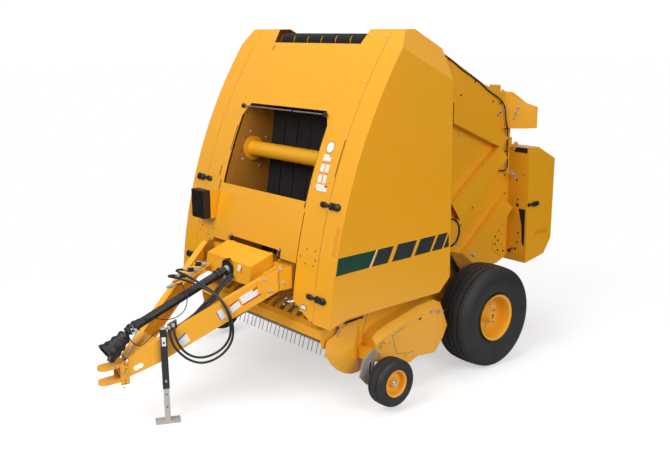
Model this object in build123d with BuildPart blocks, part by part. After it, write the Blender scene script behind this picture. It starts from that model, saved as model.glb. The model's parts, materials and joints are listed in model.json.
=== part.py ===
from build123d import *
from math import acos, atan2, cos, degrees, radians, sin, sqrt, tan
import os

os.makedirs("parts", exist_ok=True)

# A pull-type round baler. +X is the machine's left side, -Y is the way it travels and +Z is up.
# The origin is on the ground under the middle of the machine.
# Heights are from the ground, and lengths along the machine are measured back from the axle.
axle_y = 1046

# Sheet, plate and fits
sheet = 3
plate = 8
seat = 0.3
pin_fit = 0.3

# Main wheels
wheel_r = 475
tyre_width = 360
wheel_x = 1060
rim_r = 218
rim_flange_x = 1222
hub_r = 62
axle_r = 44

# Gauge wheels of the pickup
gauge_r = 204
gauge_width = 155
gauge_x = 1272
gauge_rim_r = 116
gauge_y = -1400
gauge_z = 259
spindle_r = 13

# Curved front of the body: one arc about a line across the machine
front_r = 4397
front_centre_y = 2465
front_centre_z = 423
roof_z = 3090
roof_rear_y = -902
roof_end_y = -581
roof_end_z = 2927
panel_half = 898
door_inner_x = 902
door_outer_x = 1115
door_rear_y = -534
door_bottom_z = 835
front_bottom_z = 782
leg_corner_z = 918

# Door hinges
door_pin_x = 1097
door_pin_y = -552
door_pin_r = 8
door_hinge_heights = [1300, 2300]

# Front window, lower panel and the opening in the roof
window_half = 615
window_top_half = 545
window_bottom = 1720
window_shoulder = 2320
window_top = 2435
lower_half = 626
lower_top = 1645
lower_bottom = 1222
lower_notch_z = 1285
roof_opening_half = 600
roof_lip_z = 2972

# Bale chamber
wall_x = 594
wall = 6
wall_inset = 60
cross_tube_r = 70
cross_tube_y = -1400
cross_tube_z = 2010
cross_flange_r = 112
roller_r = 62
top_roller = (-985, 2985)
lower_roller = (-1290, 1010)
back_roller = (-640, 2935)
back_roller_r = 50
belt_count = 6
belt_width = 178
belt_pitch = 196
belt = 7

# Tailgate
pivot_y = -300
pivot_z = 2780
pivot_r = 22
gate_x = 620
gate_sheet = 5
gate_front_y = -170
gate_bottom_z = 745
gate_rear_y = 855
rib_depth = 78
rib_sheet = 4
gate_roller_r = 50
box_half = 870
box_rear_y = 1273
box_top = 1930
box_bottom = 765
cover = 7
light_bar_y = 900

# Under-frame and axle
rail_width = 76
rail_z = 600
rail_height = 110
rail_front_y = -1200
rail_rear_y = 130
cross_beam_y = -1880
cross_beam_z = 1000

# Drawbar
beam_front_x = 200
beam_front_y = -2840
beam_rear_x = 600
beam_rear_y = -2000
beam_depth = 195
beam_width = 60
beam_front_z = 540
beam_slope = 0.516
nose_front_y = -3130
nose_rear_y = -2905
nose_half = 62
nose_plate = 10
ear_radius = 55
hitch_y = -3311
hitch_r = 17
ear = 28
upper_ear_z = 498
lower_ear_z = 378

# Jack
jack_half = 27
jack_wall = 4
jack_back = -40
jack_bottom = 290
jack_top = 790
foot_length = 200
foot_width = 120

# Driveline
guard_r = 36
guard_bend = (-3130, 750)
guard_rear = (-2150, 1090)
input_r = 28
bell_foot = (-3232, 588)
bell_top_r = 60
bell_r = 84
bell_wall = 6
yoke_r = 30
gearbox_front_y = -2060

# Pickup
pickup_pivot_y = -760
pickup_pivot_z = 545
pickup_pivot_r = 20
hanger_x = 650
arm_x = 684
reel_y = -1500
reel_z = 530
tine_tip_r = 216
tine_r = 3.5
tine_bar_r = 104
tine_bars = 4
tine_pairs = 12
tine_pair_pitch = 123
tine_gap = 54
band_r = 150
band_width = 62
band = 2.5
end_plate_x = 925
end_plate = 5
wind_pin = (-1660, 665)
wind_pin_r = 8
wind_half = 900
guard_x = 1100

# Tailgate lift cylinders, with the rod's eye beside the tailgate's lug
lift_x = 665
lift_base = (-550, 1000)
lift_eye = (-130, 2200)
lift_stroke = 516
lift_barrel_r = 32
lift_rod_r = 18
lift_pin_r = 14
lift_eye_half = 24

# Belt tension cylinders
tension_x = 790
tension_top = (-225, 1060)
tension_foot = (85, 655)
tension_r = 25


def side(x):
    """Plane across the machine at x: local coordinates are back from the axle, and height."""
    return Plane(origin=(x, axle_y, 0), x_dir=(0, 1, 0), z_dir=(1, 0, 0))


def front(y):
    """Upright plane at y: local coordinates are x and height, and it faces forward."""
    return Plane(origin=(0, axle_y + y, 0), x_dir=(1, 0, 0), z_dir=(0, -1, 0))


def level(z):
    """Level plane at height z: local coordinates are x and back from the axle."""
    return Plane(origin=(0, axle_y, z), x_dir=(1, 0, 0), z_dir=(0, 0, 1))


def at(x, y, z):
    """A point given across, back from the axle, and up."""
    return Vector(x, axle_y + y, z)


def front_at(z, inset=0):
    """How far back the curved front is at height z, inset under its outer face."""
    return front_centre_y - sqrt((front_r - inset) ** 2 - (z - front_centre_z) ** 2)


def parallel(path, gap):
    """The same open path moved sideways to the left of its direction, with its corners sharp."""
    normals = []
    for (y0, z0), (y1, z1) in zip(path, path[1:]):
        length = sqrt((y1 - y0) ** 2 + (z1 - z0) ** 2)
        normals.append(((z0 - z1) / length, (y1 - y0) / length))
    moved = []
    for index, (y, z) in enumerate(path):
        before = normals[max(index - 1, 0)]
        after = normals[min(index, len(normals) - 1)]
        share = gap / (1 + before[0] * after[0] + before[1] * after[1])
        moved.append((y + (before[0] + after[0]) * share, z + (before[1] + after[1]) * share))
    return moved


def strip(path, thickness):
    """Outline of a folded sheet whose right-hand face follows an open path."""
    return path + parallel(path, thickness)[::-1]


def slab(plane, outline, depth, mode=Mode.ADD):
    """Extrude a closed outline from a plane."""
    with BuildSketch(plane) as profile:
        with BuildLine():
            Polyline(*outline, close=True)
        make_face()
    extrude(profile.sketch, amount=depth, mode=mode)


def hollow_slab(plane, outline, depth, thickness):
    """A tray: a closed outline with walls round it and a wall on its far face, open on its near face."""
    slab(plane, outline, depth)
    with BuildSketch(plane.offset(-1)) as space:
        with BuildLine():
            Polyline(*outline, close=True)
        make_face()
        offset(amount=-thickness, kind=Kind.INTERSECTION, mode=Mode.REPLACE)
    extrude(space.sketch, amount=depth - thickness + 1, mode=Mode.SUBTRACT)


def box(x0, x1, y0, y1, z0, z1, mode=Mode.ADD):
    """A block between two corners."""
    slab(level(z0), [(x0, y0), (x1, y0), (x1, y1), (x0, y1)], z1 - z0, mode)


def rod(start, end, radius, mode=Mode.ADD):
    """A round bar between two points."""
    with BuildSketch(Plane(origin=start, z_dir=end - start)) as section:
        Circle(radius)
    extrude(section.sketch, amount=(end - start).length, mode=mode)


def cross_rod(x0, x1, y, z, radius, mode=Mode.ADD):
    """A round bar across the machine."""
    rod(at(x0, y, z), at(x1, y, z), radius, mode)


def mirrored(piece):
    """The same piece for the other side of the machine."""
    with BuildPart() as twin:
        mirror(piece.part, about=Plane.YZ)
    return twin


# Main wheels and axle
def tyre(centre_x, radius, width, bead_r, height_z, y, grooves):
    """A tyre turned about its axle, with round shoulders and grooves round the tread."""
    half = width / 2
    crown = radius * 0.985
    bead_x = half * 0.72
    with BuildPart() as ring:
        with BuildSketch(Plane(origin=at(centre_x, y, height_z), x_dir=(1, 0, 0), z_dir=(0, -1, 0))):
            with BuildLine():
                Line((-bead_x, bead_r), (bead_x, bead_r))
                right_wall = ThreePointArc(
                    (bead_x, bead_r), (half, (bead_r + radius) / 2), (half * 0.86, radius * 0.945))
                left_wall = ThreePointArc(
                    (-bead_x, bead_r), (-half, (bead_r + radius) / 2), (-half * 0.86, radius * 0.945))
                right_round = ThreePointArc(
                    right_wall @ 1, (half * 0.80, radius * 0.972), (half * 0.66, crown))
                left_round = ThreePointArc(
                    left_wall @ 1, (-half * 0.80, radius * 0.972), (-half * 0.66, crown))
                ThreePointArc(left_round @ 1, (0, radius), right_round @ 1)
            make_face()
            for groove_x, groove_width, groove_depth in grooves:
                with Locations((groove_x, radius - groove_depth / 2 + 1)):
                    Rectangle(groove_width, groove_depth + 4, mode=Mode.SUBTRACT)
        revolve(axis=Axis(at(centre_x, y, height_z), (1, 0, 0)))
    return ring


def rim(outline, y, z):
    """A wheel's pressed rim, disc and hub, turned about its axle from one closed outline."""
    with BuildPart() as turned:
        with BuildSketch(Plane(origin=at(0, y, z), x_dir=(1, 0, 0), z_dir=(0, -1, 0))):
            with BuildLine():
                Polyline(*outline, close=True)
            make_face()
        revolve(axis=Axis(at(0, y, z), (1, 0, 0)))
    return turned


barrel_r = rim_r - 18
rim_inner_x = 2 * wheel_x - rim_flange_x
disc_x = wheel_x + 44
tread_grooves = [(offset_x, 13, 11) for offset_x in (-88, -30, 30, 88)]
left_tyre = tyre(wheel_x, wheel_r, tyre_width, barrel_r + seat, wheel_r, 0, tread_grooves)
right_tyre = mirrored(left_tyre)
left_rim = rim(
    [(rim_flange_x, rim_r), (rim_flange_x - 7, rim_r), (rim_flange_x - 20, barrel_r),
     (rim_inner_x + 20, barrel_r), (rim_inner_x + 7, rim_r), (rim_inner_x, rim_r),
     (rim_inner_x + 10, barrel_r - 7), (wheel_x - 60, barrel_r - 22), (disc_x - 24, barrel_r - 32),
     (disc_x - 6, 120), (disc_x - 34, hub_r + 28), (wheel_x - 60, hub_r + 24), (wheel_x - 60, axle_r + pin_fit),
     (disc_x + 52, axle_r + pin_fit), (disc_x + 60, 24), (disc_x + 72, 24), (disc_x + 72, 42),
     (disc_x + 46, hub_r - 4), (disc_x + 4, hub_r + 20), (disc_x + 6, hub_r + 34), (disc_x + 14, 122),
     (disc_x - 4, barrel_r - 28), (disc_x + 22, barrel_r - 18), (rim_flange_x - 12, barrel_r - 7)],
    0, wheel_r)
right_rim = mirrored(left_rim)

rail_x = wall_x + wall + seat
with BuildPart() as axle:
    cross_rod(-(wheel_x + 94), wheel_x + 94, 0, wheel_r, axle_r)
    box(-(rail_x + 160), rail_x + 160, -50, 50, wheel_r - 50, wheel_r + 50)

# Gauge wheels
gauge_flange_x = gauge_x + 68
gauge_inner_x = gauge_x - 68
gauge_barrel_r = gauge_rim_r - 9
left_gauge_tyre = tyre(gauge_x, gauge_r, gauge_width, gauge_barrel_r + seat, gauge_z, gauge_y,
                       [(-34, 7, 5), (34, 7, 5)])
right_gauge_tyre = mirrored(left_gauge_tyre)
left_gauge_rim = rim(
    [(gauge_flange_x, gauge_rim_r), (gauge_flange_x - 4, gauge_rim_r), (gauge_flange_x - 10, gauge_barrel_r),
     (gauge_inner_x + 10, gauge_barrel_r), (gauge_inner_x + 4, gauge_rim_r), (gauge_inner_x, gauge_rim_r),
     (gauge_inner_x + 6, gauge_barrel_r - 6), (gauge_x + 4, gauge_barrel_r - 14), (gauge_x + 10, 42),
     (gauge_inner_x - 2, 34), (gauge_inner_x - 2, spindle_r + pin_fit), (gauge_x + 40, spindle_r + pin_fit),
     (gauge_x + 44, 34), (gauge_x + 20, 46), (gauge_x + 14, gauge_barrel_r - 10),
     (gauge_flange_x - 8, gauge_barrel_r - 6)],
    gauge_y, gauge_z)
right_gauge_rim = mirrored(left_gauge_rim)


# Body: the doors and the centre panel share one curved section
def body_outline(inset, spread):
    """Points of the section: front arc's ends and middle, then the roof; spread opens the far edges."""
    bottom = front_bottom_z - spread
    top = roof_z - inset
    slope = atan2(roof_end_z - roof_z, roof_end_y - roof_rear_y)
    roof_corner_y = roof_rear_y + inset * tan(slope / 2)
    end_y = roof_end_y + spread
    end_z = top + (end_y - roof_corner_y) * tan(slope)
    return [(front_at(bottom, inset), bottom), (front_at((bottom + top) / 2, inset), (bottom + top) / 2),
            (front_at(top, inset), top), (roof_corner_y, top), (end_y, end_z)]


slant_edge = [at(door_outer_x, -1126, 2947), at(door_outer_x, door_rear_y, 2665), at(1020, roof_rear_y, roof_z)]
slant_normal = (slant_edge[1] - slant_edge[0]).cross(slant_edge[2] - slant_edge[0]).normalized()
slant = Plane(origin=slant_edge[0], z_dir=slant_normal if slant_normal.X > 0 else -slant_normal)


def door_form(inset, spread):
    """The door's outer form, or the space inside it when inset by the sheet."""
    bottom, middle, top, roof_corner, roof_end = body_outline(inset, spread)
    rear_y = door_rear_y + spread
    with BuildPart() as form:
        with BuildSketch(side(door_inner_x - spread)):
            with BuildLine():
                arc = ThreePointArc(bottom, middle, top)
                Polyline(arc @ 1, roof_corner, roof_end, (rear_y, 2665), (rear_y, 952 - spread),
                         (-666 + spread, door_bottom_z - spread), (-1731, door_bottom_z - spread), arc @ 0)
            make_face()
        extrude(amount=door_outer_x - inset - door_inner_x + spread)
        split(bisect_by=slant.offset(-inset), keep=Keep.BOTTOM)
    return form.part


door_skin = door_form(0, 0)
door_space = door_form(sheet, 12)
knuckle_r = 13
knuckle_height = 60
with BuildPart() as left_door:
    add(door_skin)
    add(door_space, mode=Mode.SUBTRACT)
    for knuckle_z in door_hinge_heights:
        rod(at(door_pin_x, door_pin_y, knuckle_z), at(door_pin_x, door_pin_y, knuckle_z + knuckle_height), knuckle_r)
        box(door_pin_x, door_outer_x - sheet, door_pin_y - knuckle_r, door_pin_y, knuckle_z,
            knuckle_z + knuckle_height)
        rod(at(door_pin_x, door_pin_y, knuckle_z - 1), at(door_pin_x, door_pin_y, knuckle_z + knuckle_height + 1),
            door_pin_r + pin_fit, Mode.SUBTRACT)
right_door = mirrored(left_door)

with BuildPart() as front_panel:
    outer = body_outline(0, 0)
    inner = body_outline(sheet, 0)
    with BuildSketch(side(-panel_half)):
        with BuildLine():
            outside = ThreePointArc(outer[0], outer[1], outer[2])
            inside = ThreePointArc(inner[0], inner[1], inner[2])
            Polyline(outside @ 1, outer[3], outer[4], inner[4], inner[3], inside @ 1)
            Line(inside @ 0, outside @ 0)
        make_face()
    extrude(amount=2 * panel_half)
    window = [(-window_half, window_bottom), (window_half, window_bottom), (window_half, window_shoulder),
              (window_top_half, window_top), (-window_top_half, window_top), (-window_half, window_shoulder)]
    slab(front(-1200), window, 1000, Mode.SUBTRACT)
    below = [(-panel_half - 1, 700), (-880, front_bottom_z), (-lower_half, leg_corner_z),
             (-lower_half, lower_top - 8), (lower_half, lower_top - 8), (lower_half, leg_corner_z),
             (880, front_bottom_z), (panel_half + 1, 700)]
    slab(front(-1500), below, 1000, Mode.SUBTRACT)
    roof_gap = [(-roof_opening_half, roof_lip_z), (roof_opening_half, roof_lip_z),
                (roof_opening_half + 36, roof_z + 20), (-roof_opening_half - 36, roof_z + 20)]
    slab(front(-400), roof_gap, 1000, Mode.SUBTRACT)
    box(-roof_opening_half - 36, roof_opening_half + 36, roof_rear_y, -400, 2850, roof_z + 20, Mode.SUBTRACT)

lower_skin = lower_half - 6
cover_half = 350
with BuildPart() as lower_panel:
    with BuildSketch(side(-lower_skin)):
        with BuildLine():
            high = lower_top + 24
            centre = (high + lower_bottom) / 2
            stand = seat + sheet
            skin = ThreePointArc((front_at(lower_bottom, -stand), lower_bottom), (front_at(centre, -stand), centre),
                                 (front_at(high, -stand), high))
            back = ThreePointArc((front_at(lower_bottom, -seat), lower_bottom), (front_at(centre, -seat), centre),
                                 (front_at(high, -seat), high))
            Line(skin @ 0, back @ 0)
            Line(skin @ 1, back @ 1)
        make_face()
    extrude(amount=2 * lower_skin)
    slab(front(-1700), [(-cover_half, 1100), (cover_half, 1100), (cover_half, lower_notch_z),
                        (-cover_half, lower_notch_z)], 400, Mode.SUBTRACT)

# Bale chamber
tongue_y = -2000
wall_front_z = 830
wall_outline = [(front_at(wall_front_z, wall_inset), wall_front_z), (front_at(1000, wall_inset), 1000),
                (tongue_y, 1010), (tongue_y, 1205), (front_at(1210, sheet + seat), 1210),
                (front_at(1700, sheet + seat), 1700), (front_at(1760, wall_inset), 1760),
                (front_at(2000, wall_inset), 2000), (front_at(2400, wall_inset), 2400),
                (front_at(2460, sheet + seat), 2460), (front_at(2950, sheet + seat), 2950),
                (-880, 3020), (-560, 2890), (-240, 2830), (-240, 2700), (-200, 2500),
                (-200, rail_z + 20), (-1100, rail_z + 20), (-1150, wall_front_z)]
with BuildPart() as left_wall:
    slab(side(wall_x), wall_outline, wall)
    cross_rod(wall_x + wall, gate_x + 26, pivot_y, pivot_z, pivot_r)
    cross_rod(wall_x + wall, lift_x + lift_eye_half, lift_base[0], lift_base[1], lift_pin_r)
    for hinge_z in door_hinge_heights:
        box(wall_x + wall, door_pin_x, door_pin_y - 10, door_pin_y + 10, hinge_z - 20, hinge_z - seat)
        rod(at(door_pin_x, door_pin_y, hinge_z - 20), at(door_pin_x, door_pin_y, hinge_z - seat), 12)
        rod(at(door_pin_x, door_pin_y, hinge_z - seat), at(door_pin_x, door_pin_y, hinge_z + 50), door_pin_r)
right_wall = mirrored(left_wall)

with BuildPart() as cross_tube:
    cross_rod(-wall_x, wall_x, cross_tube_y, cross_tube_z, cross_tube_r)
    cross_rod(-wall_x, -wall_x + 10, cross_tube_y, cross_tube_z, cross_flange_r)
    cross_rod(wall_x - 10, wall_x, cross_tube_y, cross_tube_z, cross_flange_r)

with BuildPart() as chamber_rollers:
    for roller, radius in ((top_roller, roller_r), (lower_roller, roller_r), (back_roller, back_roller_r)):
        cross_rod(-wall_x, wall_x, roller[0], roller[1], radius)


def belt_centre(index):
    """Where a belt's middle is across the machine."""
    return (index - (belt_count - 1) / 2) * belt_pitch


# The front belts run up from the lower roller and over the two rollers under the roof
rise = (Vector(*top_roller) - Vector(*lower_roller)).normalized()
forward = Vector(-rise.Y, rise.X)
run_back = (Vector(*back_roller) - Vector(*top_roller)).normalized()
upward = Vector(-run_back.Y, run_back.X)
with BuildPart() as front_belts:
    for index in range(belt_count):
        with BuildSketch(side(belt_centre(index) - belt_width / 2)):
            with BuildLine():
                near = roller_r + seat
                far = near + belt
                top_centre = Vector(*top_roller)
                turn_mid = (forward + upward).normalized()
                low_near = Vector(*lower_roller) + forward * near
                low_far = Vector(*lower_roller) + forward * far
                end_near = top_centre + upward * near + run_back * 330
                end_far = top_centre + upward * far + run_back * 330
                inner_turn = ThreePointArc(top_centre + forward * near, top_centre + turn_mid * near,
                                           top_centre + upward * near)
                outer_turn = ThreePointArc(top_centre + forward * far, top_centre + turn_mid * far,
                                           top_centre + upward * far)
                Polyline(inner_turn @ 0, low_near, low_far, outer_turn @ 0)
                Polyline(inner_turn @ 1, end_near, end_far, outer_turn @ 1)
            make_face()
        extrude(amount=belt_width)

# Under-frame
with BuildPart() as main_frame:
    for x0 in (rail_x, -rail_x - rail_width):
        box(x0, x0 + rail_width, rail_front_y, rail_rear_y, rail_z, rail_z + rail_height)
        box(x0, x0 + rail_width, -60, 60, wheel_r + 50, rail_z)
    for y0 in (rail_front_y, -260):
        box(-rail_x, rail_x, y0, y0 + 100, rail_z - 60, rail_z)
        for x0 in (rail_x, -rail_x - rail_width):
            box(x0, x0 + rail_width, y0, y0 + 100, rail_z - 60, rail_z)
    box(-wall_x + seat, wall_x - seat, cross_beam_y, cross_beam_y + 80, cross_beam_z, cross_beam_z + 180)
    hanger = [(pickup_pivot_y - 55, rail_z), (pickup_pivot_y - 32, pickup_pivot_z - 32),
              (pickup_pivot_y + 32, pickup_pivot_z - 32), (pickup_pivot_y + 55, rail_z)]
    for x0 in (hanger_x, -hanger_x - 12):
        slab(side(x0), hanger, 12)
    cross_rod(-hanger_x - 20, hanger_x + 20, pickup_pivot_y, pickup_pivot_z, pickup_pivot_r + pin_fit,
              Mode.SUBTRACT)

# Drawbar: two channels, joint plates and a nose box
run = Vector(beam_rear_x - beam_front_x, beam_rear_y - beam_front_y, 0)
run_length = run.length
outward = Vector(run.Y, -run.X, 0).normalized()
beam_plane = Plane(origin=at(beam_front_x, beam_front_y, 0), x_dir=run, z_dir=outward)


def beam_outline(start, end, inset):
    """The side of a drawbar beam, rising to the rear; inset leaves the flanges."""
    low = beam_front_z + inset
    high = beam_front_z + beam_depth - inset
    return [(start, low + beam_slope * start), (end, low + beam_slope * end),
            (end, high + beam_slope * end), (start, high + beam_slope * start)]


with BuildPart() as left_beam:
    slab(beam_plane, beam_outline(-160, run_length, 0), -beam_width)
    slab(beam_plane.offset(-plate), beam_outline(-170, run_length + 10, plate), -beam_width, Mode.SUBTRACT)
    box(0, 400, -3200, nose_rear_y + seat, 300, 900, Mode.SUBTRACT)
    slab(beam_plane, [(735, 1003), (735, 1105), (run_length, 1205), (run_length, 1015)], plate)
    box(wall_x + wall, wall_x + wall + plate, beam_rear_y - 8, -1895, 1015, 1205)
    box(wall_x - seat, wall_x + wall, tongue_y - 40, -1890, 900, 1300, Mode.SUBTRACT)
right_beam = mirrored(left_beam)

nose_flare = (beam_rear_x - beam_front_x) / (beam_rear_y - beam_front_y)
nose_rear_half = nose_half + (nose_rear_y - nose_front_y) * nose_flare


def nose_form(inset):
    """The nose box, wider and higher to the rear; inset leaves its sides and its top plate."""
    rear = nose_rear_y + 2 * inset
    with BuildPart() as form:
        slab(level(300 - inset), [(inset - nose_half, nose_front_y), (nose_half - inset, nose_front_y),
                                  (nose_rear_half - inset, rear), (inset - nose_rear_half, rear)], 600)
        slab(side(-300), [(nose_front_y - 10, 555 - inset), (rear + 10, 700 - inset), (rear + 10, 950),
                          (nose_front_y - 10, 950)], 600, Mode.SUBTRACT)
        slab(side(-300), [(nose_front_y - 10, 250), (nose_front_y - 10, 400 - 2 * inset),
                          (rear + 10, 505 - 2 * inset), (rear + 10, 250)], 600, Mode.SUBTRACT)
    return form.part


nose_skin = nose_form(0)
nose_space = nose_form(nose_plate)
with BuildPart() as drawbar_nose:
    add(nose_skin)
    add(nose_space, mode=Mode.SUBTRACT)
    for hole_y in (-3074, -3046):
        cross_rod(-300, 300, hole_y, 480 + (hole_y + 3060) * 0.5, 24, Mode.SUBTRACT)
    rod(at(0, -2990, 500), at(0, -2990, 800), 34, Mode.SUBTRACT)

cheek = 11
with BuildPart() as hitch_clevis:
    for ear_z in (lower_ear_z, upper_ear_z):
        with BuildSketch(level(ear_z)):
            with BuildLine():
                Polyline((ear_radius, hitch_y), (ear_radius, nose_front_y - seat), (-ear_radius, nose_front_y - seat),
                         (-ear_radius, hitch_y))
                ThreePointArc((-ear_radius, hitch_y), (0, hitch_y - ear_radius), (ear_radius, hitch_y))
            make_face()
        extrude(amount=ear)
    box(-ear_radius, ear_radius, nose_front_y - 26, nose_front_y - seat, 350, upper_ear_z + ear)
    for x0 in (ear_radius, -ear_radius - cheek):
        with BuildSketch(side(x0)):
            with BuildLine():
                Polyline((-3205, 508), (-3205, 350), (nose_front_y - seat, 350), (nose_front_y - seat, 508))
                ThreePointArc((nose_front_y - seat, 508), (-3168, 545), (-3205, 508))
            make_face()
            with Locations((-3168, 515), (-3168, 458), (-3168, 385)):
                Circle(8, mode=Mode.SUBTRACT)
        extrude(amount=cheek)
    rod(at(0, hitch_y, 300), at(0, hitch_y, 600), hitch_r, Mode.SUBTRACT)

# Parking jack beside the left beam
jack_plane = Plane(origin=at(beam_front_x, beam_front_y, 0), x_dir=run, z_dir=Vector(0, 0, 1))
jack_out = jack_half + seat


def jack_square(half, z0, z1, mode=Mode.ADD):
    """A square upright at the jack's place."""
    corners = [(jack_back - half, -jack_out - half), (jack_back + half, -jack_out - half),
               (jack_back + half, -jack_out + half), (jack_back - half, -jack_out + half)]
    slab(jack_plane.offset(z0), corners, z1 - z0, mode)


leg_half = jack_half - jack_wall - seat
with BuildPart() as jack_tube:
    jack_square(jack_half, jack_bottom, jack_top)
    jack_square(jack_half - jack_wall, jack_bottom - 10, jack_top - 8, Mode.SUBTRACT)
with BuildPart() as jack_leg:
    jack_square(leg_half, plate, 600)
    slab(jack_plane, [(jack_back - foot_length / 2, -jack_out - foot_width / 2),
                      (jack_back + foot_length / 2, -jack_out - foot_width / 2),
                      (jack_back + foot_length / 2, -jack_out + foot_width / 2),
                      (jack_back - foot_length / 2, -jack_out + foot_width / 2)], plate)

# Gearbox, its cover and the driveline
bell_top = at(0, *guard_bend)
bell_end = at(0, *bell_foot)
bell_axis = (bell_end - bell_top).normalized()
shaft_rear = at(0, *guard_rear)
guard_dir = (shaft_rear - bell_top).normalized()
front_tilt = radians((-bell_axis).get_angle(guard_dir))
rear_tilt = radians(guard_dir.get_angle(Vector(0, 1, 0)))
shaft_front = bell_top + guard_dir * ((seat + guard_r * sin(front_tilt)) / cos(front_tilt))
input_front_y = guard_rear[0] + (seat + input_r * sin(rear_tilt)) / cos(rear_tilt)
with BuildPart() as gearbox:
    box(-120, 120, gearbox_front_y, cross_beam_y - seat, 970, 1175)
    rod(at(0, gearbox_front_y, guard_rear[1]), at(0, input_front_y, guard_rear[1]), input_r)
    cross_rod(120, 540, cross_beam_y - 38, 1062, 35)
with BuildPart() as gearbox_cover:
    slab(side(-335), [(-1884, 1253), (-2110, 1180), (-2140, 1020), (-1884, 1150)], 670)
    slab(side(-335 + sheet), [(-1870, 1253 - sheet + 4), (-2110 + sheet, 1180 - sheet), (-2140 + sheet, 1000),
                              (-1870, 1130)], 670 - 2 * sheet, Mode.SUBTRACT)
    rod(at(0, -2300, guard_rear[1]), at(0, -2000, guard_rear[1]), 95, Mode.SUBTRACT)
    box(-95, 95, -2200, -2090, 900, guard_rear[1], Mode.SUBTRACT)
    for x0 in (-300, 270):
        box(x0, x0 + 30, cross_beam_y - 6, cross_beam_y + 20, cross_beam_z + 180 + seat, 1250)
with BuildPart() as pto_guard:
    rod(shaft_front, shaft_rear, guard_r)
with BuildPart() as pto_bell:
    with BuildSketch(Plane(origin=bell_top, x_dir=(1, 0, 0), z_dir=bell_axis)):
        Circle(bell_top_r)
    with BuildSketch(Plane(origin=bell_end, x_dir=(1, 0, 0), z_dir=bell_axis)):
        Circle(bell_r)
    loft()
    with BuildSketch(Plane(origin=bell_top + bell_axis * bell_wall, x_dir=(1, 0, 0), z_dir=bell_axis)):
        Circle(bell_top_r - bell_wall)
    with BuildSketch(Plane(origin=bell_end + bell_axis * 1, x_dir=(1, 0, 0), z_dir=bell_axis)):
        Circle(bell_r - bell_wall)
    loft(mode=Mode.SUBTRACT)
with BuildPart() as pto_yoke:
    rod(bell_top + bell_axis * (bell_wall + seat), bell_end + bell_axis * 48, yoke_r)

# Pickup
frame_tube = (-1225, 420)
bracket_y = (-1485, -1405)
bracket_z = (400, 490)
arm_outline = [(-1270, 380), (-1190, 375), (pickup_pivot_y + 40, 505), (pickup_pivot_y + 40, 585),
               (pickup_pivot_y - 40, 585), (-1270, 460)]
with BuildPart() as pickup_frame:
    cross_rod(-end_plate_x, end_plate_x, frame_tube[0], frame_tube[1], 45)
    for x0 in (end_plate_x, -end_plate_x - end_plate):
        slab(side(x0), [(-1790, 560), (-1720, 640), (-1560, 740), (-1370, 765), (-1180, 700), (-1100, 420),
                        (-1200, 330), (-1420, 260), (-1620, 290), (-1760, 420)], end_plate)
    for x0 in (arm_x, -arm_x - 12):
        slab(side(x0), arm_outline, 12)
    cross_rod(-arm_x - 12, guard_x - 4, pickup_pivot_y, pickup_pivot_z, pickup_pivot_r)
    for x0, x1 in ((end_plate_x + end_plate, guard_x), (-guard_x, -end_plate_x - end_plate)):
        box(x0, x1, bracket_y[0], bracket_y[1], bracket_z[0], bracket_z[1])
    for x0, x1 in ((wind_half - 6, end_plate_x), (-end_plate_x, 6 - wind_half)):
        cross_rod(x0, x1, wind_pin[0], wind_pin[1], wind_pin_r)

with BuildPart() as pickup_reel:
    cross_rod(-end_plate_x + seat, end_plate_x - seat, reel_y, reel_z, 42)
    for bar in range(tine_bars):
        angle = radians(237 + 360 / tine_bars * bar)
        bar_y = reel_y + tine_bar_r * cos(angle)
        bar_z = reel_z + tine_bar_r * sin(angle)
        cross_rod(-820, 820, bar_y, bar_z, 14)
        lean = angle + radians(16)
        for pair in range(tine_pairs):
            pair_x = (pair - (tine_pairs - 1) / 2) * tine_pair_pitch
            for tine_x in (pair_x - tine_gap / 2, pair_x + tine_gap / 2):
                start = at(tine_x, bar_y, bar_z)
                rod(start, start + Vector(0, cos(lean), sin(lean)) * (tine_tip_r - tine_bar_r), tine_r)
    for spider_x in (-812, 0, 812):
        cross_rod(spider_x - 4, spider_x + 4, reel_y, reel_z, tine_bar_r + 8)

# Stripper bands: each goes from a rail behind the reel, over the top and down the front
band_rail = (-1245, 652)
rail_distance = sqrt((band_rail[0] - reel_y) ** 2 + (band_rail[1] - reel_z) ** 2)
band_turn = degrees(atan2(band_rail[1] - reel_z, band_rail[0] - reel_y) + acos(band_r / rail_distance))
band_normal = Vector(cos(radians(band_turn)), sin(radians(band_turn)))
band_sweep = 187 - band_turn
with BuildPart() as stripper_bands:
    for index in range(tine_pairs + 1):
        band_x = (index - tine_pairs / 2) * tine_pair_pitch
        with BuildSketch(side(band_x - band_width / 2)):
            with BuildLine():
                lower = CenterArc((reel_y, reel_z), band_r, band_turn, band_sweep)
                upper = CenterArc((reel_y, reel_z), band_r + band, band_turn, band_sweep)
                Line(lower @ 1, upper @ 1)
                rail_end = Vector(*band_rail)
                Polyline(lower @ 0, rail_end, rail_end + band_normal * band, upper @ 0)
            make_face()
        extrude(amount=band_width)
    rail_centre = Vector(*band_rail) - band_normal * 12
    cross_rod(-end_plate_x + seat, end_plate_x - seat, rail_centre.X + 6, rail_centre.Y, 12)

wind_arm = [(-1843, 620), (-1826, 712), (-1640, 690), (-1645, 640), (-1690, 640), (-1790, 545), (-1830, 545)]
with BuildPart() as wind_guard:
    slab(side(-wind_half), strip([(-1762, 716), (-1828, 696), (-1842, 622)], sheet), 2 * wind_half)
    for x0 in (wind_half, -wind_half - 8):
        slab(side(x0), wind_arm, 8)
    cross_rod(-950, 950, wind_pin[0], wind_pin[1], wind_pin_r + pin_fit, Mode.SUBTRACT)

shield_outline = [(-1440, 735), (-1556, 700), (-1793, 618), (-1816, 569), (-1810, 495), (-1760, 408),
                  (-1686, 331), (-1609, 283), (-1531, 257), (-1440, 254)]
shield_centre = (-1573, 469)
shield_rise = 55


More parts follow.
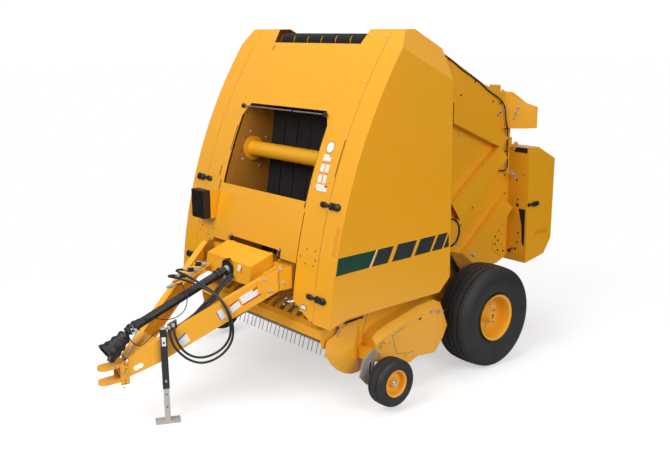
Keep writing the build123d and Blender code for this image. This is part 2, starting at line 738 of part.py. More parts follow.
def shield_form(base_x):
    """A shallow pan with flat facets, rising from the end plate to a small crown."""
    crown = [(shield_centre[0] + (y - shield_centre[0]) * 0.2, shield_centre[1] + (z - shield_centre[1]) * 0.2)
             for y, z in shield_outline]
    with BuildPart() as form:
        for plane, outline in ((side(base_x), shield_outline), (side(base_x + shield_rise), crown)):
            with BuildSketch(plane):
                with BuildLine():
                    Polyline(*outline, close=True)
                make_face()
        loft(ruled=True)
    return form.part


shield_skin = shield_form(end_plate_x + end_plate)
shield_space = shield_form(end_plate_x + end_plate - 4)
with BuildPart() as left_shield:
    add(shield_skin)
    add(shield_space, mode=Mode.SUBTRACT)
    box(end_plate_x, guard_x, bracket_y[0] - seat, bracket_y[1] + seat, bracket_z[0] - seat, bracket_z[1] + seat,
        Mode.SUBTRACT)
right_shield = mirrored(left_shield)

guard_outline = [(-1404, 580), (-1350, 618), (-1200, 665), (-875, 740), (-667, 753), (-576, 709),
                 (-540, 500), (-590, 400), (-697, 282), (-908, 303), (-1010, 271), (-1200, 300), (-1404, 380)]
with BuildPart() as left_drive_guard:
    hollow_slab(side(end_plate_x + end_plate), guard_outline, guard_x - end_plate_x - end_plate, 4)
leg_outline = [(-1415, 500), (-1450, 505), (-1560, 430), (-1600, 300), (-1520, 212), (-1366, 212), (-1366, 306),
               (-1440, 330)]
with BuildPart() as left_gauge_leg:
    slab(side(guard_x + seat), leg_outline, 12)
    cross_rod(guard_x + seat, gauge_x + 56, gauge_y, gauge_z, spindle_r)
right_gauge_leg = mirrored(left_gauge_leg)


# Tailgate
def hat_rib(base_x, top, bottom, depth, thickness):
    """A pressed channel on a sheet: its two edges are given, and its ends are open."""
    span = Vector(*top[1]) - Vector(*top[0])
    along = span.normalized() * 60
    upper = parallel(top, -thickness)
    lower = parallel(bottom, thickness)
    with BuildPart() as rib:
        slab(side(base_x), [top[0], top[1], bottom[1], bottom[0]], depth)
        slab(side(base_x), [(upper[0][0] - along.X, upper[0][1] - along.Y),
                            (upper[1][0] + along.X, upper[1][1] + along.Y),
                            (lower[1][0] + along.X, lower[1][1] + along.Y),
                            (lower[0][0] - along.X, lower[0][1] - along.Y)], depth - thickness, Mode.SUBTRACT)
    return rib.part


gate_outline = [(gate_front_y, 2890), (440, 2560), (gate_rear_y, 2414), (gate_rear_y, 800), (700, gate_bottom_z),
                (150, gate_bottom_z), (gate_front_y + 20, 900), (gate_front_y + 60, 2450)]
rib_edges = [([(-60, 2420), (740, 2030)], [(-60, 2236), (640, 1940)]),
             ([(-60, 1470), (620, 1960)], [(60, 1300), (740, 1830)]),
             ([(90, 915), (710, 1417)], [(300, 800), (847, 1313)])]
ribs = [hat_rib(gate_x + gate_sheet, top, bottom, rib_depth - gate_sheet, rib_sheet) for top, bottom in rib_edges]
with BuildPart() as left_gate_side:
    slab(side(gate_x), gate_outline, gate_sheet)
    for rib in ribs:
        add(rib)
    lug = [(pivot_y - 45, pivot_z - 45), (pivot_y + 45, pivot_z - 45), (-100, 2700), (-100, 2830),
           (pivot_y + 45, pivot_z + 45), (pivot_y - 45, pivot_z + 45)]
    slab(side(gate_x + gate_sheet), lug, 12)
    slab(side(gate_x + gate_sheet), [(lift_eye[0] - 40, lift_eye[1] - 40), (-90, lift_eye[1] - 60),
                                     (-90, lift_eye[1] + 40), (lift_eye[0] - 40, lift_eye[1] + 40)], 12)
    cross_rod(gate_x, gate_x + 40, pivot_y, pivot_z, pivot_r + pin_fit, Mode.SUBTRACT)
right_gate_side = mirrored(left_gate_side)

back_path = [(150, 750), (698, 750), (gate_rear_y, 808), (gate_rear_y, 2408), (438, 2552), (gate_front_y + 4, 2882)]
with BuildPart() as gate_back:
    slab(side(-gate_x), strip(back_path, gate_sheet), 2 * gate_x)

gate_rollers_at = [(-20, 2630), (640, 2260), (760, 1100), (560, 870), (180, 830)]
with BuildPart() as gate_rollers:
    for roller_y, roller_z in gate_rollers_at:
        cross_rod(-gate_x, gate_x, roller_y, roller_z, gate_roller_r)
gate_belt_path = parallel(gate_rollers_at[::-1], gate_roller_r + seat)
with BuildPart() as rear_belts:
    for index in range(belt_count):
        slab(side(belt_centre(index) - belt_width / 2), strip(gate_belt_path, belt), belt_width)

box_front_y = gate_rear_y + seat
box_outline = [(box_front_y, box_bottom), (1150, 817), (box_rear_y - 14, 966), (box_rear_y, 1789),
               (999, box_top), (box_front_y, box_top)]
with BuildPart() as net_box:
    slab(side(-box_half), box_outline, 2 * box_half - cover - seat)
    with BuildSketch(side(-box_half + sheet)) as box_space:
        with BuildLine():
            Polyline(*box_outline, close=True)
        make_face()
        offset(amount=-sheet, kind=Kind.INTERSECTION, mode=Mode.REPLACE)
    extrude(box_space.sketch, amount=2 * box_half, mode=Mode.SUBTRACT)
    cross_rod(-box_half + sheet, box_half - 60, 1030, 1560, 20)
with BuildPart() as box_end_cover:
    slab(side(box_half - cover), box_outline, cover)
with BuildPart() as light_bar:
    slab(front(light_bar_y + 4), [(-780, 2113), (780, 2113), (780, 2360), (600, 2460), (-600, 2460), (-780, 2360)],
         4)
    for tip in (1, -1):
        slab(level(2113), [(780 * tip, light_bar_y), (832 * tip, light_bar_y + 100),
                           (828 * tip, light_bar_y + 102), (776 * tip, light_bar_y + 4)], 205)
    for x0 in (-460, 454):
        box(x0, x0 + 6, gate_rear_y + seat, light_bar_y, 2150, 2380)

# Tailgate lift cylinders
lift_start = at(lift_x, *lift_base)
lift_end = at(lift_x, *lift_eye)
lift_dir = (lift_end - lift_start).normalized()
lift_length = (lift_end - lift_start).length
barrel_length = lift_stroke + 180
with BuildPart() as left_barrel:
    rod(lift_start + lift_dir * 26, lift_start + lift_dir * barrel_length, lift_barrel_r)
    rod(lift_start + lift_dir * 50, lift_start + lift_dir * (barrel_length - 24), lift_barrel_r - 6, Mode.SUBTRACT)
    rod(lift_start + lift_dir * 50, lift_start + lift_dir * (barrel_length + 1), lift_rod_r + pin_fit,
        Mode.SUBTRACT)
    cross_rod(lift_x - lift_eye_half, lift_x + lift_eye_half, lift_base[0], lift_base[1], 30)
    cross_rod(lift_x - lift_eye_half - 1, lift_x + lift_eye_half + 1, lift_base[0], lift_base[1],
              lift_pin_r + pin_fit, Mode.SUBTRACT)
with BuildPart() as left_rod:
    rod(lift_start + lift_dir * 60, lift_end, lift_rod_r)
    rod(lift_start + lift_dir * 60, lift_start + lift_dir * 84, lift_barrel_r - 6 - pin_fit)
    eye_inner_x = gate_x + gate_sheet + 12 + seat
    cross_rod(eye_inner_x, lift_x + lift_eye_half, lift_eye[0], lift_eye[1], 30)
    cross_rod(eye_inner_x - 1, lift_x + lift_eye_half + 1, lift_eye[0], lift_eye[1], lift_pin_r, Mode.SUBTRACT)
right_barrel = mirrored(left_barrel)
right_rod = mirrored(left_rod)

# Belt tension cylinders
tension_start = at(tension_x, *tension_top)
tension_end = at(tension_x, *tension_foot)
with BuildPart() as left_tension_cylinder:
    rod(tension_start, tension_start + (tension_end - tension_start) * 0.78, tension_r)
    rod(tension_start, tension_end, 12)
    cross_rod(wall_x + wall + seat, tension_x + 32, tension_top[0], tension_top[1], 15)
    cross_rod(rail_x + rail_width, tension_x + 32, tension_foot[0], tension_foot[1], 15)
right_tension_cylinder = mirrored(left_tension_cylinder)

# Hose holder on the right beam, and the control box on its bracket
holder_x = 390


def beam_top_at(x, y):
    """Height of a drawbar beam's top flange at a point across and back from the axle."""
    along = ((x - beam_front_x) * run.X + (y - beam_front_y) * run.Y) / run_length
    return beam_front_z + beam_depth + beam_slope * along


with BuildPart() as hose_holder:
    foot = [(holder_y, beam_top_at(holder_x, holder_y) + seat) for holder_y in (-2165, -2450)]
    slab(side(-holder_x), strip(foot, -6), 165)
    for coupler_y in (-2380, -2300, -2220):
        start = at(-250, coupler_y, beam_top_at(holder_x, coupler_y) + 6 + 12)
        rod(start + Vector(0, 50, 10), start + Vector(0, -90, 40), 14)
control_plane_x = -635
with BuildPart() as control_bracket:
    front_edge = [(front_at(height, -seat), height) for height in (1395, 1480, 1565, 1650)]
    slab(side(control_plane_x - 2), front_edge + [(-1870, 1650), (-1875, 1395)], 4)
with BuildPart() as control_box:
    box(-835, control_plane_x - 2 - seat, -1950, -1872, 1400, 1660)

pieces = {
    "left_tyre": left_tyre, "right_tyre": right_tyre, "left_rim": left_rim, "right_rim": right_rim,
    "axle": axle, "left_gauge_tyre": left_gauge_tyre, "right_gauge_tyre": right_gauge_tyre,
    "left_gauge_rim": left_gauge_rim, "right_gauge_rim": right_gauge_rim,
    "left_door": left_door, "right_door": right_door, "front_panel": front_panel, "lower_panel": lower_panel,
    "left_wall": left_wall, "right_wall": right_wall, "cross_tube": cross_tube,
    "chamber_rollers": chamber_rollers, "front_belts": front_belts, "main_frame": main_frame,
    "left_beam": left_beam, "right_beam": right_beam, "drawbar_nose": drawbar_nose, "hitch_clevis": hitch_clevis,
    "jack_tube": jack_tube, "jack_leg": jack_leg, "gearbox": gearbox, "gearbox_cover": gearbox_cover,
    "pto_guard": pto_guard, "pto_bell": pto_bell, "pto_yoke": pto_yoke,
    "pickup_frame": pickup_frame, "pickup_reel": pickup_reel, "stripper_bands": stripper_bands,
    "wind_guard": wind_guard, "left_shield": left_shield, "right_shield": right_shield,
    "left_drive_guard": left_drive_guard, "left_gauge_leg": left_gauge_leg, "right_gauge_leg": right_gauge_leg,
    "left_gate_side": left_gate_side, "right_gate_side": right_gate_side, "gate_back": gate_back,
    "gate_rollers": gate_rollers, "rear_belts": rear_belts, "net_box": net_box, "box_end_cover": box_end_cover,
    "light_bar": light_bar, "left_barrel": left_barrel, "left_rod": left_rod, "right_barrel": right_barrel,
    "right_rod": right_rod, "left_tension_cylinder": left_tension_cylinder,
    "right_tension_cylinder": right_tension_cylinder, "hose_holder": hose_holder,
    "control_bracket": control_bracket, "control_box": control_box,
}
for node, piece in pieces.items():
    piece.part.label = node
    export_step(piece.part, f"parts/{node}.step")
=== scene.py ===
"""Finishes and fine work of a towed round baler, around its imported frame."""
import json
import math

import bmesh
import bpy
from mathutils import Matrix, Vector


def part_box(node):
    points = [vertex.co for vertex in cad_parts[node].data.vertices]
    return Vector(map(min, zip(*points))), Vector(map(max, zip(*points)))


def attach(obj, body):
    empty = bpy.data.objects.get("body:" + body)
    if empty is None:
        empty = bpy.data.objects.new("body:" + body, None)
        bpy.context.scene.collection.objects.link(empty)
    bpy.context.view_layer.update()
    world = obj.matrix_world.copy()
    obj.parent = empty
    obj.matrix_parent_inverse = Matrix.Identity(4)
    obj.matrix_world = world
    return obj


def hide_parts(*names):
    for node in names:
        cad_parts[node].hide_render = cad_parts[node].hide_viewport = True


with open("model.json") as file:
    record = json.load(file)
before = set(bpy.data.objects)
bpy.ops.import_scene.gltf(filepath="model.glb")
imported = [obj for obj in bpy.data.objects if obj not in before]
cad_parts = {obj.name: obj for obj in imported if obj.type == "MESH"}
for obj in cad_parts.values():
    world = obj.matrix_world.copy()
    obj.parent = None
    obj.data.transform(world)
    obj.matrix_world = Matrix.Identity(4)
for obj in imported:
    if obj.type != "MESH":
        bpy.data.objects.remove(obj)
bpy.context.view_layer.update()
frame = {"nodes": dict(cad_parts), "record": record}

# The machine's own measures, in metres: heights from the ground, lengths back from the axle
main_low, main_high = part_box("left_tyre")
gauge_low, gauge_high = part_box("left_gauge_tyre")
AXLE_Y = (main_low.y + main_high.y) / 2
WHEEL = Vector((main_low.x + main_high.x, main_low.y + main_high.y, main_low.z + main_high.z)) / 2
GAUGE_WHEEL = (gauge_low + gauge_high) / 2
FRONT_RADIUS = 4.397
FRONT_CENTRE_Y = 2.465
FRONT_CENTRE_Z = .423
ACROSS = Vector((1, 0, 0))
UP = Vector((0, 0, 1))


def at(x, y, z):
    """A point given across, back from the axle, and up."""
    return Vector((x, AXLE_Y + y, z))


def front_normal(z):
    """The way that the curved front faces at a height."""
    rise = z - FRONT_CENTRE_Z
    return Vector((0, -math.sqrt(FRONT_RADIUS ** 2 - rise ** 2), rise)) / FRONT_RADIUS


def on_front(x, z, out=0.0):
    """A point on the curved front, or a little out from it."""
    return at(x, FRONT_CENTRE_Y, FRONT_CENTRE_Z) + front_normal(z) * (FRONT_RADIUS + out)


# The left drawbar beam's outer face: its front end, the way along it, and the way it faces
BEAM_FRONT = at(.2, -2.84, .54)
BEAM_WAY = Vector((.4, .84, .48)) / math.hypot(.4, .84)
BEAM_OUT = Vector((.84, -.4, 0)).normalized()


def on_beam(along, height, out=0.0):
    """A point on the left beam's outer face, by the way along it and the height over its lower edge."""
    return BEAM_FRONT + BEAM_WAY * along + UP * height + BEAM_OUT * out


# Camera
PHOTO_WIDTH = 670
FOCAL_PIXELS = 873.13
SENSOR = 36.0
CAMERA_PLACE = (6.1242, -5.0286, 3.1451)
CAMERA_TURN = 49.87
CAMERA_TILT = 90 - 13.09
CAMERA_ROLL = -.62
LENS_SHIFT = .0012


def stand(name, data):
    """Put a new object in the scene."""
    made = bpy.data.objects.new(name, data)
    bpy.context.scene.collection.objects.link(made)
    return made


def set_camera():
    """Stand the camera at the photograph's place and angle."""
    lens = bpy.data.cameras.new("camera")
    lens.sensor_width = SENSOR
    lens.lens = FOCAL_PIXELS / PHOTO_WIDTH * SENSOR
    lens.shift_y = LENS_SHIFT
    lens.clip_end = 200.0
    camera = stand("camera", lens)
    turn = Matrix.Rotation(math.radians(CAMERA_TURN), 4, "Z")
    tilt = Matrix.Rotation(math.radians(CAMERA_TILT), 4, "X")
    roll = Matrix.Rotation(math.radians(CAMERA_ROLL), 4, "Z")
    camera.matrix_world = Matrix.Translation(CAMERA_PLACE) @ turn @ tilt @ roll
    bpy.context.scene.camera = camera


set_camera()


# Effects that several finishes share
def add_node(tree, kind, inputs=None, **settings):
    """Add a shader node, with its settings, and its inputs as values or as sockets to link."""
    node = tree.nodes.new("ShaderNode" + kind)
    for key, value in settings.items():
        setattr(node, key, value)
    for key, value in (inputs or {}).items():
        if isinstance(value, bpy.types.NodeSocket):
            tree.links.new(value, node.inputs[key])
        else:
            node.inputs[key].default_value = value
    return node


def new_effect(name, inputs, outputs):
    """Start a node group with named inputs and outputs, each given as its kind or its default value."""
    tree = bpy.data.node_groups.new(name, "ShaderNodeTree")
    for key, value in inputs.items():
        kind = "NodeSocketColor" if isinstance(value, tuple) else "NodeSocketFloat"
        tree.interface.new_socket(name=key, in_out="INPUT", socket_type=kind).default_value = value
    for key, kind in outputs.items():
        tree.interface.new_socket(name=key, in_out="OUTPUT", socket_type="NodeSocket" + kind)
    given = tree.nodes.new("NodeGroupInput").outputs
    made = tree.nodes.new("NodeGroupOutput").inputs
    return tree, given, made


def here(tree):
    """The place on the piece."""
    return add_node(tree, "TexCoord").outputs["Object"]


def noise(tree, place, scale, detail):
    """A cloudy value over a place."""
    return add_node(tree, "TexNoise", {"Vector": place, "Scale": scale, "Detail": detail}).outputs["Fac"]


def worked(tree, operation, *values, clamp=False):
    """A value worked out from others."""
    return add_node(tree, "Math", dict(enumerate(values)), operation=operation, use_clamp=clamp).outputs[0]


def stretched(tree, value, low, high, to_low=0.0, to_high=1.0):
    """A value stretched from one range over another."""
    return add_node(tree, "MapRange", {"Value": value, "From Min": low, "From Max": high, "To Min": to_low,
        "To Max": to_high}).outputs[0]


def cloudy_colour():
    """A coat of colour that is a little uneven, in broad clouds and in fine specks."""
    tree, given, made = new_effect("cloudy colour", {"Colour": (1, 1, 1, 1), "Scale": 2.0, "Amount": .05},
        {"Colour": "Color"})
    place = here(tree)
    broad = noise(tree, place, given["Scale"], 4.0)
    fine = noise(tree, place, worked(tree, "MULTIPLY", given["Scale"], 24.0), 2.0)
    spread = worked(tree, "ADD", worked(tree, "ADD", broad, fine), -1.0)
    share = worked(tree, "MULTIPLY_ADD", spread, given["Amount"], 1.0)
    shade = add_node(tree, "VectorMath", {0: given["Colour"], "Scale": share}, operation="SCALE")
    tree.links.new(shade.outputs[0], made["Colour"])
    return tree


def rubbed_edge():
    """Where an outer edge has been rubbed, and the normal of that edge when it is a little rounded."""
    tree, given, made = new_effect("rubbed edge", {"Width": .003, "Amount": .5},
        {"Mask": "Float", "Normal": "Vector"})
    rounded = add_node(tree, "Bevel", {"Radius": given["Width"]}, samples=4).outputs[0]
    flat = add_node(tree, "NewGeometry").outputs["Normal"]
    meet = add_node(tree, "VectorMath", {0: rounded, 1: flat}, operation="DOT_PRODUCT").outputs["Value"]
    bend = stretched(tree, meet, .985, .8)
    broken = stretched(tree, noise(tree, here(tree), 55.0, 5.0), .5, .66)
    mask = worked(tree, "MULTIPLY", worked(tree, "MULTIPLY", bend, broken), given["Amount"], clamp=True)
    tree.links.new(mask, made["Mask"])
    tree.links.new(rounded, made["Normal"])
    return tree


def settled_dust():
    """Where dust lies: low on the machine, on what faces up, and in patches."""
    tree, given, made = new_effect("settled dust", {"Height": .9, "Amount": .3}, {"Mask": "Float"})
    place = here(tree)
    low = stretched(tree, add_node(tree, "SeparateXYZ", {0: place}).outputs["Z"], given["Height"], 0.0)
    normal = add_node(tree, "NewGeometry").outputs["Normal"]
    upward = stretched(tree, add_node(tree, "SeparateXYZ", {0: normal}).outputs["Z"], .1, 1.0, .25)
    patch = stretched(tree, noise(tree, place, 7.0, 6.0), .38, .7)
    share = worked(tree, "MULTIPLY", worked(tree, "MULTIPLY", low, upward), patch)
    tree.links.new(worked(tree, "MULTIPLY", share, given["Amount"], clamp=True), made["Mask"])
    return tree


def surface_grain():
    """Height of a fine grain over a slower waviness."""
    tree, given, made = new_effect("surface grain", {"Scale": 300.0, "Wave": 3.0}, {"Height": "Float"})
    place = here(tree)
    grain = noise(tree, place, given["Scale"], 3.0)
    height = worked(tree, "MULTIPLY_ADD", noise(tree, place, given["Wave"], 1.0), 4.0, grain)
    tree.links.new(height, made["Height"])
    return tree


CLOUDY = cloudy_colour()
RUBBED = rubbed_edge()
DUSTY = settled_dust()
GRAINY = surface_grain()
DUST = (.42, .36, .27, 1.0)
COAT_ROUGHNESS = .12

# Each finish: colour; roughness; metallic; coat; cloud scale and amount; rubbed colour, width and amount;
# dust amount; grain scale and depth
FINISHES = {
    "yellow paint": ((.86, .385, .012), .34, 0, .45, 1.6, .05, (.93, .52, .08), .004, .5, .22, 420, .0001),
    "black paint": ((.011, .011, .012), .36, 0, .3, 3, .2, (.12, .12, .12), .003, .6, .15, 380, .00015),
    "black plastic": ((.006, .006, .007), .42, 0, 0, 4, .25, (.05, .05, .05), .002, .4, .08, 900, .0002),
    "tyre rubber": ((.013, .013, .014), .55, 0, 0, 4, .35, (.035, .034, .033), .004, .5, .06, 700, .00035),
    "belt rubber": ((.003, .003, .004), .85, 0, 0, 5, .35, (.03, .03, .03), .002, .4, .04, 500, .0006),
    "hose rubber": ((.012, .012, .013), .42, 0, 0, 6, .2, (.04, .04, .04), .001, .3, .08, 1200, .00015),
    "zinc plate": ((.46, .455, .44), .42, .45, 0, 8, .16, (.72, .71, .68), .002, .5, .25, 600, .0001),
    "worked steel": ((.5, .49, .47), .34, 1, 0, 9, .22, (.75, .74, .72), .002, .6, .25, 500, .00015),
    "bright steel": ((.72, .72, .72), .2, 1, 0, 5, .08, (.85, .85, .85), .001, .3, .1, 700, .00005),
    "jack steel": ((.5, .5, .47), .55, .35, 0, 8, .14, (.66, .66, .64), .002, .5, .2, 500, .00012),
    # painted shade and seams: near-black painted shade for the insides of holes, slots and recesses, and the
    # colour of dark seam lines
    "painted shade and seams": ((.006, .006, .006), .9, 0, 0, 8, .2, (.02, .02, .02), .001, .1, .05, 400, .00005),
    # paint darkened for shade: a darker, duller yellow that paints in the shade inside the bale chamber, on
    # its walls, their front strips and the left axle plate
    "paint darkened for shade": ((.4, .155, .006), .62, 0, .1, 1.6, .2, (.5, .3, .1), .004, .6, .3, 420, .00015),
    "green film": ((.006, .05, .032), .38, 0, .2, 3, .08, (.03, .12, .08), .001, .2, .2, 800, .00003),
    "dark film": ((.022, .028, .03), .38, 0, .2, 3, .1, (.08, .08, .08), .001, .2, .2, 800, .00003),
    "white film": ((.8, .8, .78), .42, 0, .2, 9, .04, (.55, .52, .45), .001, .4, .15, 800, .00003),
    "red film": ((.62, .055, .015), .42, 0, .2, 9, .06, (.5, .2, .12), .001, .4, .15, 800, .00003),
    "orange film": ((.8, .22, .02), .42, 0, .2, 9, .06, (.6, .3, .15), .001, .4, .15, 800, .00003),
    "blue film": ((.03, .12, .42), .42, 0, .2, 9, .06, (.2, .25, .4), .001, .4, .15, 800, .00003),
    "amber tape": ((.8, .3, .012), .25, 0, .5, 9, .06, (.7, .35, .1), .001, .3, .15, 1500, .0001),
    "red plastic": ((.55, .02, .015), .4, 0, 0, 9, .08, (.6, .15, .1), .001, .3, .15, 900, .0001),
    "teal paint": ((.03, .2, .2), .4, 0, .2, 9, .1, (.25, .3, .3), .001, .5, .25, 500, .0001),
}


def mapped_roughness(tree, place, roughness, dust):
    """Roughness that varies a little over the surface, and is dull where dust lies."""
    varied = stretched(tree, noise(tree, place, 9.0, 5.0), .3, .7, roughness - .06, roughness + .09)
    return add_node(tree, "Mix", {"Factor": dust, 2: varied, 3: .85}).outputs[0]


def make_finish(name):
    """A finish with clouds in its colour, rubbed edges, settled dust and a fine grain."""
    (colour, roughness, metallic, coat, cloud_scale, clouds, rubbed, width, wear, dust_amount, grain_scale,
        depth) = FINISHES[name]
    material = bpy.data.materials.new(name)
    material.use_nodes = True
    tree = material.node_tree
    shader = tree.nodes["Principled BSDF"]
    base = add_node(tree, "Group", {"Colour": (*colour, 1.0), "Scale": cloud_scale, "Amount": clouds},
        node_tree=CLOUDY)
    edge = add_node(tree, "Group", {"Width": width, "Amount": wear}, node_tree=RUBBED)
    dust = add_node(tree, "Group", {"Amount": dust_amount}, node_tree=DUSTY)
    grain = add_node(tree, "Group", {"Scale": grain_scale}, node_tree=GRAINY)
    worn = add_node(tree, "Mix", {"Factor": edge.outputs["Mask"], 6: base.outputs["Colour"],
        7: (*rubbed, 1.0)}, data_type="RGBA")
    dusted = add_node(tree, "Mix", {"Factor": dust.outputs["Mask"], 6: worn.outputs[2], 7: DUST},
        data_type="RGBA")
    bump = add_node(tree, "Bump", {"Height": grain.outputs["Height"], "Distance": depth,
        "Normal": edge.outputs["Normal"]})
    tree.links.new(dusted.outputs[2], shader.inputs["Base Color"])
    tree.links.new(mapped_roughness(tree, here(tree), roughness, dust.outputs["Mask"]),
        shader.inputs["Roughness"])
    tree.links.new(bump.outputs[0], shader.inputs["Normal"])
    for name, value in (("Metallic", metallic), ("Coat Weight", coat), ("Coat Roughness", COAT_ROUGHNESS)):
        shader.inputs[name].default_value = value
    material.diffuse_color = (*colour, 1.0)
    return material


FINISH = {name: make_finish(name) for name in FINISHES}

# The chamber walls take the darker paint that paints in the shade inside the chamber
FINISH_OF_NODE = {"jack_leg": "jack steel", "pto_yoke": "black paint", "left_wall": "paint darkened for shade",
    "right_wall": "paint darkened for shade"}
# Finish of each imported solid, by the material slot that model.json gives it
FINISH_OF_SLOT = {"yellow_paint": "yellow paint", "tyre_rubber": "tyre rubber", "belt_rubber": "belt rubber",
    "black_paint": "black paint", "black_plastic": "black plastic", "plain_steel": "worked steel",
    "zinc_plate": "zinc plate"}


def finish_frame():
    """Give every solid of the frame its finish."""
    slots = {part["node"]: part["material_slot"] for part in frame["record"]["subparts"]}
    for node, solid in frame["nodes"].items():
        solid.data.materials.clear()
        solid.data.materials.append(FINISH[FINISH_OF_NODE.get(node, FINISH_OF_SLOT[slots[node]])])


finish_frame()

# Each free cord: its diameter, length and stiffness, and its route in millimetres
CORDS = {
    "outer_hose": (.02, 1.9, "stiff", [(-250, -2470, 1049), (-250, -2510, 1058), (-240, -2552, 1067),
        (-205, -2585, 1076), (-155, -2595, 1083), (-90, -2587, 1088), (-10, -2572, 1090), (70, -2550, 1082),
        (155, -2520, 1064), (240, -2490, 1045), (330, -2465, 1015), (410, -2447, 965), (475, -2432, 890),
        (503, -2421, 800), (505, -2420, 710), (486, -2437, 625), (445, -2480, 545), (395, -2560, 487),
        (355, -2650, 477), (318, -2735, 520), (290, -2800, 590), (268, -2840, 660), (246, -2846, 722),
        (222, -2838, 763), (184.4, -2821.5, 775)]),
    "inner_hose": (.02, 1.77, "stiff", [(-250, -2390, 1087), (-250, -2430, 1095), (-240, -2472, 1103),
        (-205, -2508, 1110), (-155, -2522, 1114), (-80, -2525, 1114), (0, -2518, 1106), (65, -2510, 1094),
        (135, -2494, 1076), (220, -2470, 1052), (305, -2450, 1015), (380, -2435, 960), (435, -2422, 885),
        (460, -2414, 800), (462, -2416, 710), (450, -2435, 640), (420, -2485, 572), (378, -2560, 527),
        (345, -2640, 518), (315, -2715, 548), (292, -2770, 605), (276, -2800, 668), (260, -2812, 730),
        (238, -2808, 779), (199.4, -2789.9, 793)]),
    "control_cable": (.008, 1.53, "medium", [(-250, -2452, 966), (-228, -2492, 976), (-180, -2522, 996),
        (-106, -2545, 1026), (-10, -2562, 1032), (64, -2574, 990), (98, -2590, 912), (94, -2630, 838),
        (84, -2710, 802), (80, -2800, 812), (82, -2885, 846), (76, -2972, 872), (68, -3052, 868),
        (74, -3112, 824), (92, -3134, 760), (102, -3106, 696), (100, -3041, 648), (95, -2980, 672),
        (98, -2925, 714), (118, -2885, 748), (144.5, -2863.1, 764), (166, -2818, 768)])}
HARNESS = [(633, -140, 2852), (633, -20, 2796), (633, 110, 2712), (633, 250, 2644), (633, 380, 2576),
    (636, 500, 2490), (648, 645, 2418), (656, 716, 2348), (658, 732, 2260), (658, 749, 2156),
    (658, 775, 2110), (658, 770, 1977), (658, 779, 1811), (658, 788, 1735), (656, 760, 1694),
    (654, 714, 1696), (652, 650, 1714)]


def make_cords():
    """The free hoses and the control cable, each on one smooth spline, and the tailgate's clipped harness."""
    cords = dict(CORDS)
    cords["gate_harness"] = (.014, 0, "", HARNESS)
    for name, (diameter, length, stiffness, route) in cords.items():
        points = [at(x / 1000, y / 1000, z / 1000) for x, y, z in route]
        curve = bpy.data.curves.new(name, "CURVE")
        curve.dimensions = "3D"
        curve.bevel_depth = diameter / 2
        curve.bevel_resolution = 5
        curve.resolution_u = 10
        curve.use_fill_caps = True
        spline = curve.splines.new("NURBS")
        spline.points.add(len(points) - 1)
        for place, point in zip(spline.points, points):
            place.co = (*point, 1.0)
        spline.order_u = 3
        spline.use_endpoint_u = True
        curve.materials.append(FINISH["hose rubber"])
        made = stand(name, curve)
        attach(made, "frame" if length else "tailgate")


make_cords()


# Forms that the fine work is made from. Every fitting reaches a little into what it stands on.
SUNK = .001
HANDS = ((1, "left"), (-1, "right"))


def on_side(x, points):
    """Points of a flat side at one place across, from (back from the axle, up) pairs."""
    return [at(x, y, z) for y, z in points]


def facing(way, points):
    """Points paired with the one way that they face."""
    return [(point, way) for point in points]


def round_turn(count):
    """Even angles once round."""
    return [2 * math.pi * k / count for k in range(count)]


def circle(middle, across, over, radius, count):
    """Points round a circle, from two ways that lie in it."""
    return [middle + (across * math.cos(a) + over * math.sin(a)) * radius for a in round_turn(count)]


